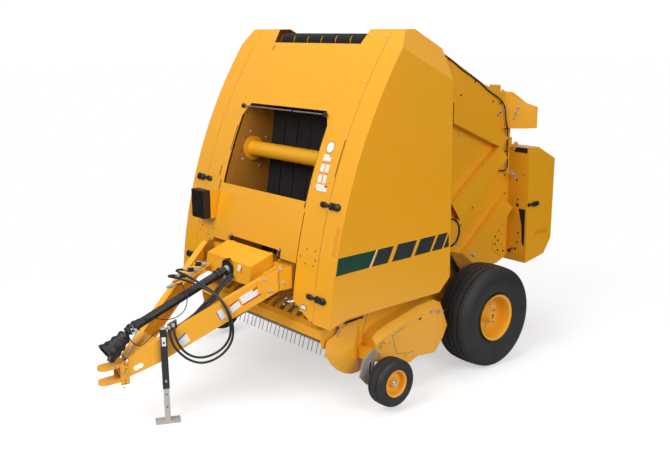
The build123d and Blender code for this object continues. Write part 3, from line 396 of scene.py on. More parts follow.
class Form:
    """A mesh built up from worked shapes, in the machine's own place."""

    def __init__(self):
        self.mesh = bmesh.new()

    def loft(self, rings, caps=True, closed=False):
        """Join rings of as many points each, one after another, and cap the two ends."""
        rows = [[self.mesh.verts.new(point) for point in ring] for ring in rings]
        count = len(rows[0])
        pairs = list(zip(rows, rows[1:])) + ([(rows[-1], rows[0])] if closed else [])
        for near, far in pairs:
            for index in range(count):
                after = (index + 1) % count
                self.mesh.faces.new((near[index], near[after], far[after], far[index]))
        if caps and not closed:
            self.mesh.faces.new(rows[0][::-1])
            self.mesh.faces.new(rows[-1])
        return self

    def slab(self, corners, depth):
        """A flat outline with a thickness, given as the way from one face to the other."""
        return self.loft([[Vector(corner) for corner in corners],
            [Vector(corner) + depth for corner in corners]])

    def turned(self, foot, axis, profile, sides=20):
        """A form turned about an axis, from (distance along, radius) pairs."""
        axis = Vector(axis).normalized()
        across = axis.orthogonal().normalized()
        return self.loft([circle(Vector(foot) + axis * along, across, axis.cross(across), max(radius, 1e-4),
            sides) for along, radius in profile])

    def pipe(self, path, radius, sides=10, closed=False):
        """A round bar or pipe bent along a path of points."""
        path = [Vector(point) for point in path]
        count = len(path)
        rings = []
        across = None
        for index, point in enumerate(path):
            before = path[(index - 1) % count] if closed or index else point
            after = path[(index + 1) % count] if closed or index < count - 1 else point
            along = (after - before).normalized()
            across = along.orthogonal() if across is None else across - along * across.dot(along)
            across.normalize()
            rings.append(circle(point, across, along.cross(across), radius, sides))
        return self.loft(rings, closed=closed)

    def bolt(self, place, normal, size, reach=None):
        """A washer and a six-sided bolt head with chamfered corners."""
        height = size * .42 if reach is None else reach
        self.turned(place, normal, [(-SUNK, size * .72), (size * .1, size * .72), (size * .14, size * .66)],
            18)
        return self.turned(place, normal, [(size * .1, size * .56), (height * .86, size * .56),
            (height, size * .46)], 6)

    def dome(self, place, normal, radius):
        """A round-headed rivet or coach bolt."""
        return self.turned(place, normal, [(-SUNK, radius), (radius * .12, radius),
            (radius * .36, radius * .82), (radius * .5, radius * .45), (radius * .54, 0.0)], 14)

    def disc(self, place, normal, radius, proud=.0007):
        """A thin disc, for the painted shade inside a drilled hole or for a round label."""
        return self.turned(place, normal, [(-SUNK, radius), (proud, radius)], 18)

    def piece(self, name, finish, body="frame", smooth=35.0):
        """Turn the form into a piece that rides on a body."""
        bmesh.ops.recalc_face_normals(self.mesh, faces=self.mesh.faces)
        mesh = bpy.data.meshes.new(name)
        self.mesh.to_mesh(mesh)
        self.mesh.free()
        mesh.shade_smooth()
        mesh.set_sharp_from_angle(angle=math.radians(smooth))
        mesh.materials.append(FINISH[finish])
        made = stand(name, mesh)
        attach(made, body)
        return made


def curve_through(start, middle, end, count):
    """Points of a smooth curve from start to end that passes through middle."""
    start, middle, end = Vector(start), Vector(middle), Vector(end)
    pull = middle * 2 - (start + end) / 2
    steps = [index / count for index in range(count + 1)]
    return [start * (1 - t) ** 2 + pull * (2 * t * (1 - t)) + end * t ** 2 for t in steps]


# Wheels
RING_PROUD = .0018


def tyre_section(half, radius, bead, grooves, groove_half, groove_depth, wall_rings):
    """Half of a tyre's section from its middle to its bead, as (across, radius, zigzag) points."""
    crown_end = (half * .66, radius * .985)

    def crown(x):
        return radius - (radius - crown_end[1]) * (x / crown_end[0]) ** 2

    points = [(0.0, radius, 0)]
    for groove_x in grooves:
        for share, drop in ((-1, 0), (-.6, groove_depth), (.6, groove_depth), (1, 0)):
            x = groove_x + groove_half * share
            points.append((x, crown(x) - drop, 1))
    shoulder = curve_through(crown_end, (half * .8, radius * .972), (half * .86, radius * .945), 5)
    points += [(p.x, p.y, 0) for p in shoulder]
    wall = curve_through((half * .86, radius * .945), (half, (bead + radius) / 2), (half * .72, bead), 22)
    for index, point in enumerate(wall[1:], 1):
        x = min(point.x + RING_PROUD, half) if index in wall_rings else point.x
        points.append((x, point.y, 0))
    return points


def make_tyre(node, body, centre, half, radius, bead, grooves, groove_half, groove_depth, wall_rings, steps):
    """A tyre with grooved tread, zigzag groove edges and moulded rings on its walls."""
    section = tyre_section(half, radius, bead, grooves, groove_half, groove_depth, wall_rings)
    whole = [(-x, r, zigzag) for x, r, zigzag in section[:0:-1]] + section
    swing = groove_half * .55
    rings = []
    for x, r, zigzag in whole:
        ring = []
        for step, angle in enumerate(round_turn(steps)):
            shift = swing * (1 if step % 4 < 2 else -1) if zigzag else 0.0
            ring.append(centre + Vector((x + shift, r * math.cos(angle), r * math.sin(angle))))
        rings.append(ring)
    made = Form().loft(rings, caps=False, closed=True).piece(node + "_rubber", "tyre rubber", body,
        smooth=28.0)
    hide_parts(node)


def make_wheels():
    """The four tyres."""
    for mirror, hand in HANDS:
        middle = Vector((WHEEL.x * mirror, WHEEL.y, WHEEL.z))
        make_tyre(hand + "_tyre", hand + "_wheel", middle, .18, .475, .2003, (.03, .088), .009, .014,
            (5, 8, 17, 19), 240)
        small = Vector((GAUGE_WHEEL.x * mirror, GAUGE_WHEEL.y, GAUGE_WHEEL.z))
        make_tyre(hand + "_gauge_tyre", hand + "_gauge_wheel", small, .0775, .204, .1073, (.034,), .0045,
            .007, (6, 16), 120)


make_wheels()


def put_bolts(name, finish, body, places, size):
    """Bolts at (point, way) pairs."""
    form = Form()
    for place, normal in places:
        form.bolt(place, normal, size)
    form.piece(name, finish, body)


def put_discs(name, finish, body, places, radius):
    """Near-black discs of painted shade for drilled holes, or other thin discs, at (point, way) pairs."""
    form = Form()
    for place, normal in places:
        form.disc(place, normal, radius)
    form.piece(name, finish, body)


def put_plates(name, finish, body, outlines, way, proud=.0008):
    """Thin flat plates or films from outlines, each standing proud along one way."""
    form = Form()
    way = Vector(way).normalized()
    for outline in outlines:
        form.slab([Vector(corner) - way * SUNK for corner in outline], way * (proud + SUNK))
    form.piece(name, finish, body)


def front_plates(name, finish, body, oblongs, proud=.0009):
    """Thin oblong plates or films on the curved front, bent with it."""
    form = Form()
    for x0, x1, z0, z1 in oblongs:
        rings = []
        count = max(1, round((z1 - z0) / .05))
        for index in range(count + 1):
            z = z0 + (z1 - z0) * index / count
            rings.append([on_front(x0, z, -SUNK), on_front(x1, z, -SUNK), on_front(x1, z, proud),
                on_front(x0, z, proud)])
        form.loft(rings)
    form.piece(name, finish, body)


# The curved front
def make_front():
    """Rivets, the painted shade of drilled holes and slots, blank labels of the curved front, and the doors'
    edge tapes.
    """
    form = Form()
    for x, z in [(x * hand, z) for hand in (1, -1) for x in (.68, .845)
            for z in (3.038, 2.685, 2.317, 1.902)]:
        form.dome(on_front(x, z), front_normal(z), .0085)
    form.piece("front_rivets", "zinc plate")
    # Near-black discs and strips: painted shade in the front's drilled holes and slots
    holes = [(.737, 1.361), (.841, 1.361), (.667, 1.291), (.858, 1.29), (.737, 1.243), (.842, 1.242),
        (.705, .881), (.886, .793), (-.838, 1.296), (-.856, 1.251), (-.654, 1.294), (-.743, 1.229),
        (-.701, 1.229), (-.687, 1.195), (-.674, .924), (-.601, 1.226)]
    put_discs("front_holes", "painted shade and seams", "frame", [(on_front(x, z), front_normal(z)) for x, z in holes],
        .0065)
    front_plates("front_slots", "painted shade and seams", "frame", [(.887, .894, 1.948, 2.233),
        (-.631, -.622, 2.008, 2.236), (-.706, -.696, 1.775, 1.868), (-.666, -.656, 1.65, 1.742),
        (.604, .616, 1.67, 1.714), (-.576, -.566, 2.905, 2.95)])
    x, z, radius = .739, 2.165, .046
    put_discs("speed_label", "white film", "frame", [(on_front(x, z), front_normal(z))], radius)
    Form().pipe([on_front(x + radius * math.cos(a), z + radius * math.sin(a), .0004)
        for a in round_turn(36)], .0018, 6, closed=True).piece("speed_label_rim", "dark film")
    front_plates("front_labels", "white film", "frame", [(.69, .786, 2.057, 2.108),
        (.691, .735, 1.973, 2.05), (.752, .793, 1.973, 2.05), (.694, .735, 1.889, 1.966),
        (.755, .794, 1.889, 1.966), (.687, .829, 1.825, 1.875)])
    front_plates("front_label_tops", "orange film", "frame", [(.691, .735, 2.036, 2.05),
        (.752, .793, 2.036, 2.05), (.694, .735, 1.953, 1.966), (.755, .794, 1.953, 1.966)], .0014)
    front_plates("front_label_corners", "red film", "frame", [(.795, .829, 1.857, 1.875),
        (.687, .7, 1.825, 1.838)], .0014)
    front_plates("front_label_edges", "amber tape", "frame", [(.758, .786, 2.092, 2.108)], .0014)
    front_plates("low_label_frame", "dark film", "frame", [(.735, .808, .868, .912)])
    front_plates("low_label", "white film", "frame", [(.741, .8, .874, .906)], .0014)
    for hand, name in HANDS:
        low, high = sorted((1.05 * hand, 1.094 * hand))
        front_plates(name + "_edge_tape", "amber tape", name + "_door", [(low, high, 1.362, 1.581)])


def latch_lobe(form, ends, z, hand):
    """One lobe of a moulded rubber latch: (across, half height, thickness) from end to end."""
    rings = []
    for x, half, thick in ends:
        ring = []
        for a in round_turn(14):
            rise = math.copysign(abs(math.cos(a)) ** .6, math.cos(a)) * half
            lift = math.copysign(abs(math.sin(a)) ** .7, math.sin(a)) * thick / 2 + thick / 2
            ring.append(on_front(x * hand, z + rise, lift + .0004))
        rings.append(ring)
    form.loft(rings)


def make_latches():
    """Rubber latches that hold the two doors, with their keepers on the front."""
    for hand, name in HANDS:
        keeper = Form()
        handle = Form()
        for z in (1.73, .995):
            latch_lobe(keeper, [(.808, .012, .01), (.816, .02, .02), (.836, .023, .024), (.868, .022, .024),
                (.884, .014, .02), (.895, .011, .016)], z, hand)
            latch_lobe(handle, [(.897, .012, .016), (.925, .013, .018), (.938, .022, .024),
                (.965, .026, .03), (1.01, .026, .03), (1.036, .022, .024), (1.048, .013, .014)], z, hand)
            for x in (.93, 1.0):
                latch_lobe(handle, [(x, .028, .014), (x + .014, .03, .034), (x + .028, .028, .014)], z, hand)
        keeper.piece(name + "_latch_keepers", "black plastic", smooth=50)
        handle.piece(name + "_latch_handles", "black plastic", name + "_door", smooth=50)


make_front()
make_latches()


DOOR_SIDE = 1.115


def make_door_stripe():
    """The blank green and dark stripe along the left door's side."""

    def stripe(name, finish, outlines):
        put_plates(name, finish, "left_door", [on_side(DOOR_SIDE, outline) for outline in outlines], ACROSS)

    stripe("stripe_head", "green film", [[(-1.821, 1.352), (-1.849, 1.212), (-1.498, 1.219),
        (-1.418, 1.353)]])
    stripe("stripe_line", "white film", [[(-1.414, 1.353), (-1.494, 1.219), (-1.486, 1.219),
        (-1.406, 1.353)]])
    stripe("stripe_bars", "dark film", ([(-1.394, 1.353), (-1.465, 1.22), (-1.292, 1.22), (-1.221, 1.353)],
        [(-1.171, 1.357), (-1.244, 1.22), (-1.023, 1.22), (-.949, 1.357)],
        [(-.907, 1.358), (-.982, 1.223), (-.795, 1.225), (-.722, 1.358)],
        [(-.69, 1.359), (-.768, 1.226), (-.644, 1.226), (-.571, 1.36)],
        [(-.556, 1.346), (-.624, 1.227), (-.556, 1.231)]))


make_door_stripe()


def make_lower_panel():
    """The lower panel's over-centre latches and their pins."""
    form = Form()
    bright = Form()
    for x in (.39, -.335):
        form.slab([on_front(x + s, z, -.001) for s, z in ((-.012, 1.215), (.012, 1.215), (.012, 1.3),
            (-.012, 1.3))], front_normal(1.26) * .01)
        form.pipe([on_front(x, 1.295, .012), on_front(x, 1.28, .028), on_front(x, 1.235, .03),
            on_front(x, 1.215, .014)], .006)
        bright.pipe([on_front(x - .012, 1.29, .018), on_front(x + .012, 1.29, .018)], .008)
        bright.bolt(on_front(x, 1.207), front_normal(1.207), .014)
    form.piece("panel_latches", "black paint")
    bright.bolt(on_front(.46, 1.247), front_normal(1.247), .016)
    bright.piece("panel_latch_pins", "zinc plate")


make_lower_panel()


def make_window():
    """The steel rod across the window's top, its bushes, and the bolts of the right wall, with painted shade
    in its holes.
    """
    y, z = -1.5, 2.412
    Form().pipe([at(-.592, y, z), at(.592, y, z)], .006, 12).piece("window_rod", "bright steel")
    bushes = Form()
    for x, side in ((-.594, 1), (.594, -1)):
        bushes.turned(at(x, y, z), (side, 0, 0), [(0, .022), (.012, .022), (.016, .014), (.03, .012)])
    bushes.turned(at(.14, y, z), ACROSS, [(0, .01), (.015, .01)])
    bushes.piece("window_rod_bushes", "black plastic")
    put_bolts("chamber_wall_bolts", "zinc plate", "frame", facing(ACROSS,
        on_side(-.594, ((-1.425, 2.169), (-1.252, 2.097), (-1.525, 1.918), (-1.342, 1.837)))), .018)
    # Near-black discs: painted shade in the right wall's holes
    put_discs("chamber_wall_holes", "painted shade and seams", "frame", facing(ACROSS,
        on_side(-.594, ((-1.454, 2.345), (-1.484, 2.12), (-1.538, 1.996), (-1.704, 1.819)))), .007)


def make_chamber_fronts():
    """The chamber walls' front strips, which reach the front beside the window, and the left axle plate, both
    in darker paint that stands in for shade.
    """
    inner, outer = .5956, .5984
    strips = Form()
    for hand in (1, -1):
        rings = []
        for step in range(13):
            z = 1.6 + .07 * step
            near = on_front(0.0, z, -.014).y
            rings.append([Vector((x * hand, y, z)) for x, y in ((inner, near), (outer, near),
                (outer, near + .24), (inner, near + .24))])
        strips.loft(rings)
    strips.piece("chamber_front_strips", "paint darkened for shade")
    Form().slab(on_side(.735, ((-.14, .56), (.14, .56), (.235, .74), (.235, .84), (.05, .985),
        (-.14, 1.04))), ACROSS * .008).piece("left_axle_plate", "paint darkened for shade")


make_window()
make_chamber_fronts()


AXLE_HEIGHT = .475
NUTS = 6
NUT_CIRCLE = .108


def make_wheel_fittings():
    """The main wheels' nuts and valves, and the gauge wheels' caps."""
    for hand, name in HANDS:
        out = (hand, 0, 0)
        nuts = Form()
        for k in range(NUTS):
            a = 2 * math.pi * (k + .25) / NUTS
            nuts.bolt(at(1.108 * hand, NUT_CIRCLE * math.cos(a), AXLE_HEIGHT + NUT_CIRCLE * math.sin(a)),
                out, .026, .02)
        nuts.piece(name + "_wheel_nuts", "zinc plate", name + "_wheel")
        Form().turned(at(1.168 * hand, -.165, .4), (hand, -.25, -.1),
            [(-.02, .006), (.03, .006), (.031, .008), (.044, .008)], 10).piece(name + "_valve",
            "black plastic", name + "_wheel")
        Form().turned(at(1.318 * hand, -1.4, .259), out, [(0, .03), (.006, .03), (.008, .02), (.014, .02),
            (.016, .012), (.022, .011)], 18).piece(name + "_gauge_cap", "bright steel", name + "_gauge_wheel")


make_wheel_fittings()


def make_drawbar_fittings():
    """Blank labels, bolts, painted shade in holes, gusset and hitch pin of the drawbar."""

    def labels(name, finish, outlines, proud=.0009):
        put_plates(name, finish, "frame", [[on_beam(s, h) for s, h in outline] for outline in outlines],
            BEAM_OUT, proud)

    labels("beam_labels", "white film", [[(.068, .096), (.139, .122), (.174, .026), (.108, .017)],
        [(.39, .136), (.435, .142), (.472, .048), (.423, .046)], [(.491, .125), (.563, .139), (.595, .065),
        (.523, .049)], [(.583, .144), (.734, .148), (.764, .06), (.613, .056)]])
    labels("beam_label_blues", "blue film", [[(.068, .096), (.139, .122), (.144, .108), (.073, .083)],
        [(.39, .136), (.396, .137), (.429, .047), (.423, .046)]], .0014)
    labels("beam_label_reds", "red film", [[(.491, .125), (.563, .139), (.57, .124), (.498, .109)],
        [(.69, .147), (.734, .148), (.741, .128), (.697, .126)], [(.606, .072), (.764, .076), (.764, .06),
        (.613, .056)]], .0014)
    put_bolts("beam_bolts", "zinc plate", "frame", [(on_beam(s, h), BEAM_OUT)
        for s, h in ((.925, .176), (.796, .164), (.942, .052), (.837, .049))], .024)
    holes = ((-3.158, .562), (-3.167, .53), (-3.145, .512), (-3.156, .478), (-3.167, .359), (-3.184, .329))
    put_discs("cheek_holes", "painted shade and seams", "frame", facing(ACROSS, on_side(.066, holes)), .006)
    Form().slab([on_beam(s, h, .001) for s, h in ((.77, .205), (.783, .228), (.884, .236), (.94, .205))],
        BEAM_OUT * .004).piece("beam_gusset", "yellow paint")
    pin = [(-.06, .011), (0, .011), (0, .019), (.012, .019), (.015, .015)]
    clip = ((.066, -3.265, .562), (.07, -3.237, .509), (.07, -3.213, .452), (.068, -3.16, .438),
        (.066, -3.108, .442))
    form = Form().turned(at(0, -3.231, .552), UP, pin, 18)
    form.pipe([at(*place) for place in clip], .003, 8).piece("hitch_pin_and_clip", "zinc plate")


def make_jack_fittings():
    """The jack's blank labels, painted shade in the holes down its leg, its cap and its pin."""
    low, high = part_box("jack_tube")
    middle = (low + high) / 2
    out = BEAM_OUT
    foot = Vector((middle.x, middle.y, 0))
    side_face = foot + out * .0272
    leg_face = foot + out * .0225
    along = Vector((.4, .84, 0)).normalized()
    front_face = foot - along * .0272
    for name, finish, half, bottom, top, sunk, thick in (("jack_labels", "white film", .016, .653, .728,
            .001, .0018), ("jack_label_marks", "dark film", .007, .672, .69, 0, .0013)):
        label = Form()
        for face, way, turn in ((side_face, out, along), (front_face, -along, out)):
            label.slab([face + turn * s + UP * z - way * sunk for s, z in ((-half, bottom), (half, bottom),
                (half, top), (-half, top))], way * thick)
        label.piece(name, finish)
    holes = Form()
    for z in (.13, .24):
        holes.disc(leg_face - out * .001 + UP * z, out, .0065, .0016)
    holes.piece("jack_leg_holes", "painted shade and seams")
    cap = [(0, .026), (.006, .026), (.01, .02), (.01, .009), (.016, .009)]
    pin = [(0, .009), (.03, .009), (.032, .007)]
    form = Form().turned(Vector((middle.x, middle.y, high.z - .001)), UP, cap, 18)
    form.turned(side_face + UP * .36 - out * .008, out, pin, 12).piece("jack_cap_and_pin", "zinc plate")


make_drawbar_fittings()
make_jack_fittings()


def chain(form, path, link=.014, wire=.0016):
    """A chain of oval links along a path, each turned a quarter from the last."""
    lengths = [(b - a).length for a, b in zip(path, path[1:])]
    total = sum(lengths)
    count = max(3, round(total / (link * .78)))
    for index in range(count):
        run = total * (index + .5) / count
        for start, end, length in zip(path, path[1:], lengths):
            if run <= length:
                break
            run -= length
        middle = start + (end - start) * (run / length)
        way = (end - start).normalized()
        side = way.orthogonal().normalized()
        if index % 2:
            side = way.cross(side)
        oval = []
        for a in round_turn(12):
            reach = math.copysign(link * .22, math.cos(a)) if abs(math.cos(a)) > .2 else 0
            oval.append(middle + way * (math.cos(a) * link * .28 + reach) + side * math.sin(a) * link * .3)
        form.pipe(oval, wire, 5, closed=True)


GUARD_FRONT = at(0, -3.13, .75)
GUARD_REAR = at(0, -2.15, 1.09)
GUARD_WAY = (GUARD_REAR - GUARD_FRONT).normalized()


def make_boot():
    """The shaft's rubber boot: a sagging bell with soft folds, open at its mouth."""
    neck = at(0, -3.104, .735)
    mouth = at(0, -3.285, .622)
    way = (mouth - neck).normalized()
    length = (mouth - neck).length
    over = way.cross(ACROSS)
    outer = [(0.0, .043), (.03, .052), (.1, .058), (.17, .056), (.22, .05), (.3, .06), (.38, .069),
        (.45, .07), (.5, .064), (.58, .072), (.66, .08), (.74, .081), (.8, .076), (.88, .083), (.95, .088),
        (1.0, .087), (1.005, .082)]
    inner = [(.93, .077), (.7, .068), (.45, .056), (.25, .043), (.235, 0.0)]
    rings = []
    for share, radius in outer + inner:
        middle = neck + way * (length * share) - Vector((0, 0, .01 * math.sin(math.pi * min(share, 1))))
        ring = []
        for a in round_turn(56):
            soft = .0022 * math.sin(3 * a + 7 * share) + .0016 * math.sin(7 * a - 15 * share)
            soft += .002 * math.sin(11 * a + 31 * share) * max(0.0, math.sin(9 * share))
            reach = max(radius + soft * (1 if radius > .045 else 0), .0001)
            ring.append(middle + (ACROSS * math.cos(a) + over * math.sin(a)) * reach)
        rings.append(ring)
    boot = Form().loft(rings).piece("shaft_boot", "black plastic", smooth=60)
    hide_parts("pto_bell")


def make_drive_line():
    """Collars, folds, retaining rings and chains of the shaft's guard, and the tag on it."""
    collars = Form()
    for start, length in ((.055, .075), (.93, .07)):
        foot = GUARD_FRONT + GUARD_WAY * start
        collars.turned(foot, GUARD_WAY, [(0, .0365), (.004, .046), (length * .3, .046), (length * .34, .041),
            (length * .6, .041), (length * .66, .049), (length - .004, .049), (length, .037)], 28)
    for start in (.2, .52):
        foot = GUARD_FRONT + GUARD_WAY * start
        collars.turned(foot, GUARD_WAY, [(0, .0362), (.002, .0375), (.01, .0375), (.012, .0362)], 28)
    collars.piece("guard_collars_and_folds", "black plastic", smooth=60)
    bright = Form()
    for start, radius in ((.082, .0425), (.99, .04)):
        ring = circle(GUARD_FRONT + GUARD_WAY * start, ACROSS, GUARD_WAY.cross(ACROSS), radius + .006, 28)
        bright.pipe(ring, .0022, 6, closed=True)
    bright.turned(GUARD_REAR + GUARD_WAY * -.03, GUARD_WAY, [(0, .026), (.03, .026), (.032, .034),
        (.06, .034), (.062, .024), (.1, .024)], 20)
    chain(bright, curve_through(GUARD_FRONT + Vector((.046, .1, .02)), at(.068, -3.1, .66),
        at(.064, -3.16, .575), 10))
    chain(bright, curve_through(GUARD_REAR + Vector((.05, -.04, -.03)), at(.09, -2.21, .99),
        at(.13, -2.15, 1.045), 8))
    bright.piece("guard_rings_and_chains", "zinc plate")
    Form().slab([at(.043, -3.086, .796), at(.043, -3.02, .78), at(.043, -3.005, .745),
        at(.043, -3.066, .735)], ACROSS * .001).piece("guard_tag", "white film")
    Form().pipe([at(.04, -3.02, .788), at(.0405, -3.016, .812), at(.03, -3.012, .835)],
        .0022, 6).piece("guard_tag_strap", "black plastic")


def make_under_guard_hoses():
    """The bunched hoses clipped under the drive line, and a near-black disc of painted shade in the gearbox
    cover's opening.
    """
    path = [(-2.15, 1.075), (-2.23, 1.035), (-2.3, .975), (-2.349, .91), (-2.4, .88), (-2.449, .862),
        (-2.524, .806), (-2.59, .775), (-2.646, .752), (-2.7, .735), (-2.76, .735)]
    form = Form()
    for x, dy, dz in ((.1, 0.0, 0.0), (.072, .004, -.02), (.128, -.004, -.012)):
        form.pipe([at(x, y + dy, z + dz) for y, z in path], .0125, 10)
    form.piece("bunched_hoses", "hose rubber", smooth=60)
    # A near-black disc of painted shade inside the gearbox cover's opening
    Form().disc(at(0, -2.1185, 1.09), (0, -.983, -.184), .0925, .0012).piece("cover_opening_painted_shade",
        "painted shade and seams")


make_boot()
make_under_guard_hoses()
make_drive_line()


COUPLER_WAY = Vector((0, -.9778, .2095))
COUPLER_ENDS = (at(-.25, -2.47, 1.0494), at(-.25, -2.39, 1.0867), at(-.25, -2.31, 1.1243))
FLANGE_HEIGHT = .195


def on_flange(out, along, over):
    """A point over the left beam's top flange, by the way out from its outer face and along it."""
    return BEAM_FRONT + BEAM_OUT * out + BEAM_WAY * along + UP * (FLANGE_HEIGHT + over)


def make_hose_fittings():
    """Couplings with blank tags, the hoses' ends and port block, the harness clips and the shut-off valve."""
    bright = Form()
    dark = Form()
    tags = Form()
    for end in COUPLER_ENDS:
        foot = end - COUPLER_WAY * .143
        bright.turned(foot - COUPLER_WAY * .002, COUPLER_WAY, [(0, .0155), (.018, .0155), (.019, .0185),
            (.046, .0185), (.048, .0158), (.074, .0158)], 20)
        dark.turned(foot + COUPLER_WAY * .072, COUPLER_WAY, [(0, .0158), (.001, .0205), (.01, .0215),
            (.022, .0205), (.034, .0215), (.046, .0205), (.058, .0175), (.0605, .01)], 20)
        aside = COUPLER_WAY.cross(UP).normalized()
        tags.slab([foot + COUPLER_WAY * s + aside * w + UP * .0222
            for s, w in ((.08, -.009), (.08, .009), (.112, .009), (.112, -.009))], UP * .001)
    for route in ("outer_hose", "inner_hose"):
        points = [at(x / 1000, y / 1000, z / 1000) for x, y, z in CORDS[route][3]]
        for end, before, back, size in ((points[0], points[1], .0785, .0152),
                (points[-1], points[-2], .01, .016)):
            way = (before - end).normalized()
            bright.turned(end - way * back, way, [(0, size), (back * .5, size), (back * .52, size + .0025),
                (back * .8, size + .0025), (back * .82, size), (back, size), (back + .001, .0125),
                (back + .026, .0125), (back + .028, .0104)], 20)
    dark.turned(at(-.25, -2.452, .966) + Vector((0, .016, .004)), (.45, -.85, .2),
        [(0, .011), (.01, .011), (.011, .008), (.022, .0075), (.028, .0046)], 14)
    steps = ((.022, .058, -.001, .075, -.004), (.022, .058, -.001, .075, .058), (.027, .053, .004, .07, .064))
    rings = [[on_flange(out, along, over) for out, along in ((-near, start), (-near, end), (-far, end),
        (-far, start))] for near, far, start, end, over in steps]
    Form().loft(rings).piece("hose_rest", "black paint")
    bright.turned(at(-.28, -2.565, .955), (0, 1, .05), [(0, .01), (.02, .01), (.022, .016), (.05, .016),
        (.052, .01), (.09, .01)], 16)
    bright.pipe([at(-.28, -2.53, .955), at(-.28, -2.524, .978), at(-.28, -2.5, .99)], .004, 8)
    bright.piece("hose_ends", "zinc plate")
    dark.piece("coupler_sleeves", "black plastic")
    tags.piece("coupler_tags", "white film")
    clips = Form()
    for x, (y0, z0), (y1, z1) in ((.633, (250, 2640), (380, 2572)), (.652, (645, 2414), (716, 2344)),
            (.658, (760, 2148), (772, 2080)), (.658, (770, 1930), (775, 1850))):
        middle = at(x, (y0 + y1) / 2000, (z0 + z1) / 2000)
        way = Vector((0, y1 - y0, z1 - z0)).normalized()
        clips.turned(middle - way * .009, way, [(0, .0072), (.001, .0092), (.017, .0092), (.018, .0072)], 14)
        clips.bolt(middle + way.cross(ACROSS) * .018 - ACROSS * .0075, ACROSS, .012)
    clips.piece("harness_clips", "black plastic", "tailgate")
    Form().pipe([at(-.28, -2.502, .99), at(-.276, -2.47, .996), at(-.27, -2.44, 1.002)],
        .007, 10).piece("valve_lever", "red plastic")


make_hose_fittings()


def lines(form, path, across, width=.003, proud=.0008):
    """A narrow dark line, for a seam or fold, along points of a flat side that faces across."""
    across = Vector(across).normalized()
    for start, end in zip(path, path[1:]):
        aside = (end - start).cross(across).normalized() * width / 2
        form.slab([start - aside - across * SUNK, end - aside - across * SUNK, end + aside - across * SUNK,
            start + aside - across * SUNK], across * (proud + SUNK))


def side_ring(middle, radius):
    """Points of a ring that lies flat against the side."""
    return [middle + Vector((0, math.cos(a) * radius, math.sin(a) * radius)) for a in round_turn(16)]


def make_pickup_fittings():
    """Bolts, painted shade in holes, seams, folds and spring pins of the drive guard and end plate, and the
    leg's chain.
    """
    x = 1.1

    def on_guard(points):
        return on_side(x, points)

    put_bolts("drive_guard_bolts", "zinc plate", "pickup", facing(ACROSS,
        on_guard([(-1.194, .569), (-1.241, .518), (-1.136, .613), (-.972, .325), (-1.375, .456)])), .02)
    put_discs("drive_guard_holes", "painted shade and seams", "pickup", facing(ACROSS,
        on_guard([(-1.35, .53), (-1.326, .535), (-1.311, .52), (-1.364, .512), (-1.34, .509), (-1.368, .498),
        (-1.345, .488)])), .0055)
    seams = Form()
    for path in ([(-1.22, .568), (-1.175, .415), (-1.16, .388), (-1.051, .371)],
            [(-1.09, .344), (-.98, .368)], [(-1.22, .568), (-1.1, .6), (-.9, .655)]):
        lines(seams, on_guard(path), ACROSS)
    seams.piece("drive_guard_seams", "painted shade and seams", "pickup")
    folds = Form()
    for y0, z0, y1, z1 in ((-.856, .64, -.889, .33), (-.673, .64, -.726, .32)):
        folds.loft([[end + Vector(shift) for shift in ((-.001, -.009, 0), (.004, 0, 0), (-.001, .009, 0))]
            for end in on_guard([(y0, z0), (y1, z1)])])
    folds.slab(on_guard([(-1.215, .575), (-1.2, .605), (-1.05, .652), (-.88, .69), (-.88, .655),
        (-1.05, .615)]), ACROSS * .003)
    folds.piece("drive_guard_folds", "yellow paint", "pickup")
    pins = Form()
    for y, z in ((-.748, .675), (-.655, .655)):
        p = at(x + .004, y, z)
        pins.pipe(side_ring(p, .017), .0026, 6, closed=True)
        pins.pipe([p + Vector((0, .017, 0)), p + Vector((0, .05, -.01)), p + Vector((0, .075, -.004))],
            .0026, 6)
        pins.turned(p + ACROSS * -.006, ACROSS, [(0, .006), (.016, .006), (.018, .004)], 10)
    chain(pins, [at(1.122, -1.381, .459), at(1.124, -1.374, .372)], .02, .0022)
    ring = at(.94, -1.681, .67)
    pins.pipe(side_ring(ring, .016), .003, 6, closed=True)
    pins.pipe([ring + UP * -.016, ring + Vector((.004, -.006, -.04))], .003, 6)
    pins.turned(at(.93, -1.681, .672), ACROSS, [(-.002, .007), (.016, .007), (.018, .005)], 10)
    pins.bolt(at(.93, -1.736, .589), ACROSS, .02)
    pins.piece("spring_pins", "zinc plate", "pickup")


def make_drive_guard():
    """The pickup's drive guard, folded with a broad chamfer above, and the sheets over the end plates."""
    outline = [(-1.404, .58), (-1.35, .618), (-1.2, .665), (-.875, .74), (-.667, .753), (-.576, .709),
        (-.54, .5), (-.59, .4), (-.697, .282), (-.908, .303), (-1.01, .271), (-1.2, .3), (-1.404, .38)]
    face = [(-1.404, .528), (-1.338, .566), (-1.186, .611), (-.866, .684), (-.69, .694),
        (-.604, .664)] + outline[6:]
    made = Form().loft([on_side(.9305, outline), on_side(1.045, outline), on_side(1.0995, face),
        [at(1.0998, -1.0 + (y + 1.0) * .985, .49 + (z - .49) * .985)
        for y, z in face]]).piece("drive_guard_cover", "yellow paint", "pickup", smooth=20)
    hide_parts("left_drive_guard")
    for hand, name in HANDS:
        Form().slab(on_side(.9242 * hand, ((-1.7, .64), (-1.672, .69), (-1.64, .765), (-1.6, .795),
            (-1.0, .795), (-.7, .752), (-.6, .7), (-.6, .52), (-1.05, .52), (-1.4, .56))),
            ACROSS * .0066 * hand).piece(name + "_pickup_sheet", "yellow paint", "pickup")


